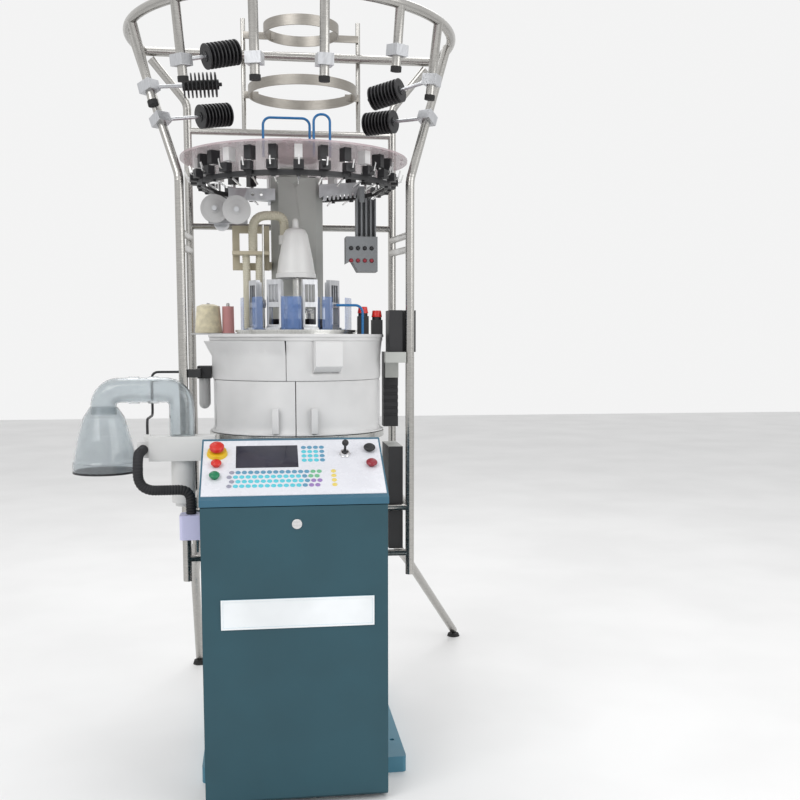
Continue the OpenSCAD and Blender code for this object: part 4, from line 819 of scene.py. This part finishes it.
class SOCK_OT_hoses(MachineStep, Operator):
    """Corrugated suction hoses, ribbed black hose and cable"""
    bl_idname = "sock.hoses"
    bl_label = "Hoses"

    def execute(self, context):
        pitch = context.scene.sock_sizes.rib_pitch
        for i, (route, r) in enumerate(CREAM_HOSES):
            stands_for = ["hoses"] if i == 0 else []
            self.hose("cream_hose_%d" % i, route, r, CREAM_BEND, pitch, CREAM_DEPTH, "hose", stands_for)
        self.hose("black_hose", *BLACK_HOSE, BLACK_BEND, BLACK_PITCH, BLACK_DEPTH, "ribbed")
        route, r = CABLE
        path, _ = rounded_path(np.array(route) * MM, CABLE_BEND * MM, CABLE_STEP)
        piece("cable", *tube_surface(path, r * MM, 12), ["black"], slot="cream_hose", flip=True)
        return {"FINISHED"}

    def hose(self, name, route, r, bend, pitch, depth, finish, stands_for=()):
        """Tube whose radius follows its length s: r(s) = r (1 - depth + depth sqrt|cos(pi s / pitch)|)."""
        path, at = rounded_path(np.array(route) * MM, bend * MM, pitch / 6)
        radius = r * MM * (1 - depth + depth * np.sqrt(np.abs(np.cos(np.pi * at / pitch))))
        piece(name, *tube_surface(path, radius, 24), [finish], stands_for, "cream_hose", flip=True)


# Lamps: name, place and power. All are soft squares that face the machine's middle.
LAMPS = (("key", (-2.6, -3.4, 4.2), 90), ("fill", (3.2, -3.0, 2.6), 50), ("top", (0.3, 1.8, 4.4), 60))
LAMP_SIZE = 3.0
LAMPS_FACE = Vector((0, 0, 1.1))
SOFT_LIGHT = 0.74
BACKDROP = 0.9
FLOOR = ((-14, -9, 0), (14, -9, 0), (14, 12, 0), (-14, 12, 0))

# Camera, set by the match with the photo: place, turn in degrees, lens, sensor and shift, and how far it sees.
CAMERA_AT = (-0.101, -2.85, 1.139)
CAMERA_TURN = (84, 0, -7.9)
LENS, SENSOR, SHIFT = 45, 36, 0.056
SEES = 60


class SOCK_OT_stage(MachineStep, Operator):
    """Floor, backdrop, lamps and camera"""
    bl_idname = "sock.stage"
    bl_label = "Stage"

    def execute(self, context):
        scene = context.scene
        self.floor(scene)
        for lamp in LAMPS:
            self.lamp(scene, *lamp)
        scene.world = self.world()
        scene.view_settings.view_transform = "Standard"
        self.camera(scene)
        return {"FINISHED"}

    def floor(self, scene):
        """Pale floor that only belongs to the stage."""
        mesh = bpy.data.meshes.new("floor")
        mesh.from_pydata(FLOOR, [], [(0, 1, 2, 3)])
        mesh.materials.append(Finish("pale_floor", (0.84, 0.84, 0.84), 0.6).vary(0.03, 1.5).mat)
        obj = bpy.data.objects.new("floor", mesh)
        scene.collection.objects.link(obj)

    def lamp(self, scene, name, at, power):
        """Square lamp that faces the middle of the machine."""
        data = bpy.data.lights.new(name, "AREA")
        data.size, data.energy = LAMP_SIZE, power
        obj = bpy.data.objects.new(name, data)
        obj.location = at
        obj.rotation_euler = (LAMPS_FACE - Vector(at)).to_track_quat("-Z", "Y").to_euler()
        scene.collection.objects.link(obj)

    def world(self):
        """Soft even light on the machine, and a near white backdrop for what the camera or a mirror sees."""
        world = bpy.data.worlds.new("studio")
        world.use_nodes = True
        nodes, links = world.node_tree.nodes, world.node_tree.links
        soft = nodes["Background"]
        soft.inputs[0].default_value, soft.inputs[1].default_value = (1, 1, 1, 1), SOFT_LIGHT
        backdrop = nodes.new("ShaderNodeBackground")
        backdrop.inputs[0].default_value = (BACKDROP, BACKDROP, BACKDROP, 1)
        path = nodes.new("ShaderNodeLightPath")
        seen = path.outputs["Is Camera Ray"]
        for ray in ("Is Glossy Ray", "Is Transmission Ray"):
            either = nodes.new("ShaderNodeMath")
            either.operation = "MAXIMUM"
            links.new(seen, either.inputs[0])
            links.new(path.outputs[ray], either.inputs[1])
            seen = either.outputs[0]
        mix = nodes.new("ShaderNodeMixShader")
        links.new(seen, mix.inputs[0])
        links.new(soft.outputs[0], mix.inputs[1])
        links.new(backdrop.outputs[0], mix.inputs[2])
        links.new(mix.outputs[0], nodes["World Output"].inputs[0])
        return world

    def camera(self, scene):
        """Camera at the photo's height and angle."""
        data = bpy.data.cameras.new("camera")
        data.lens, data.sensor_width, data.shift_y = LENS, SENSOR, SHIFT
        data.clip_end = SEES
        obj = bpy.data.objects.new("camera", data)
        obj.location = CAMERA_AT
        obj.rotation_euler = [radians(turn) for turn in CAMERA_TURN]
        scene.collection.objects.link(obj)
        scene.camera = obj


STEPS = (SOCK_OT_finishes, SOCK_OT_base, SOCK_OT_cabinet, SOCK_OT_console, SOCK_OT_head, SOCK_OT_column,
         SOCK_OT_creel, SOCK_OT_outlet, SOCK_OT_boxes, SOCK_OT_hoses, SOCK_OT_stage)


class SOCK_PT_panel(Panel):
    """Lists the steps that dress the machine"""
    bl_label = "Sock machine"
    bl_space_type = "VIEW_3D"
    bl_region_type = "UI"
    bl_category = "Sock machine"

    def draw(self, context):
        for group in (context.scene.sock_sizes, context.scene.sock_colours):
            for key in group.__annotations__:
                self.layout.prop(group, key)
        for step in STEPS:
            self.layout.operator(step.bl_idname)


def register():
    for cls in (SockMachineColours, SockMachineSizes, *STEPS, SOCK_PT_panel):
        bpy.utils.register_class(cls)
    bpy.types.Scene.sock_colours = PointerProperty(type=SockMachineColours)
    bpy.types.Scene.sock_sizes = PointerProperty(type=SockMachineSizes)


def unregister():
    del bpy.types.Scene.sock_colours, bpy.types.Scene.sock_sizes
    for cls in reversed((SockMachineColours, SockMachineSizes, *STEPS, SOCK_PT_panel)):
        bpy.utils.unregister_class(cls)


def main():
    register()
    for step in STEPS:
        group, name = step.bl_idname.split(".")
        getattr(getattr(bpy.ops, group), name)()


if __name__ == "__main__":
    main()
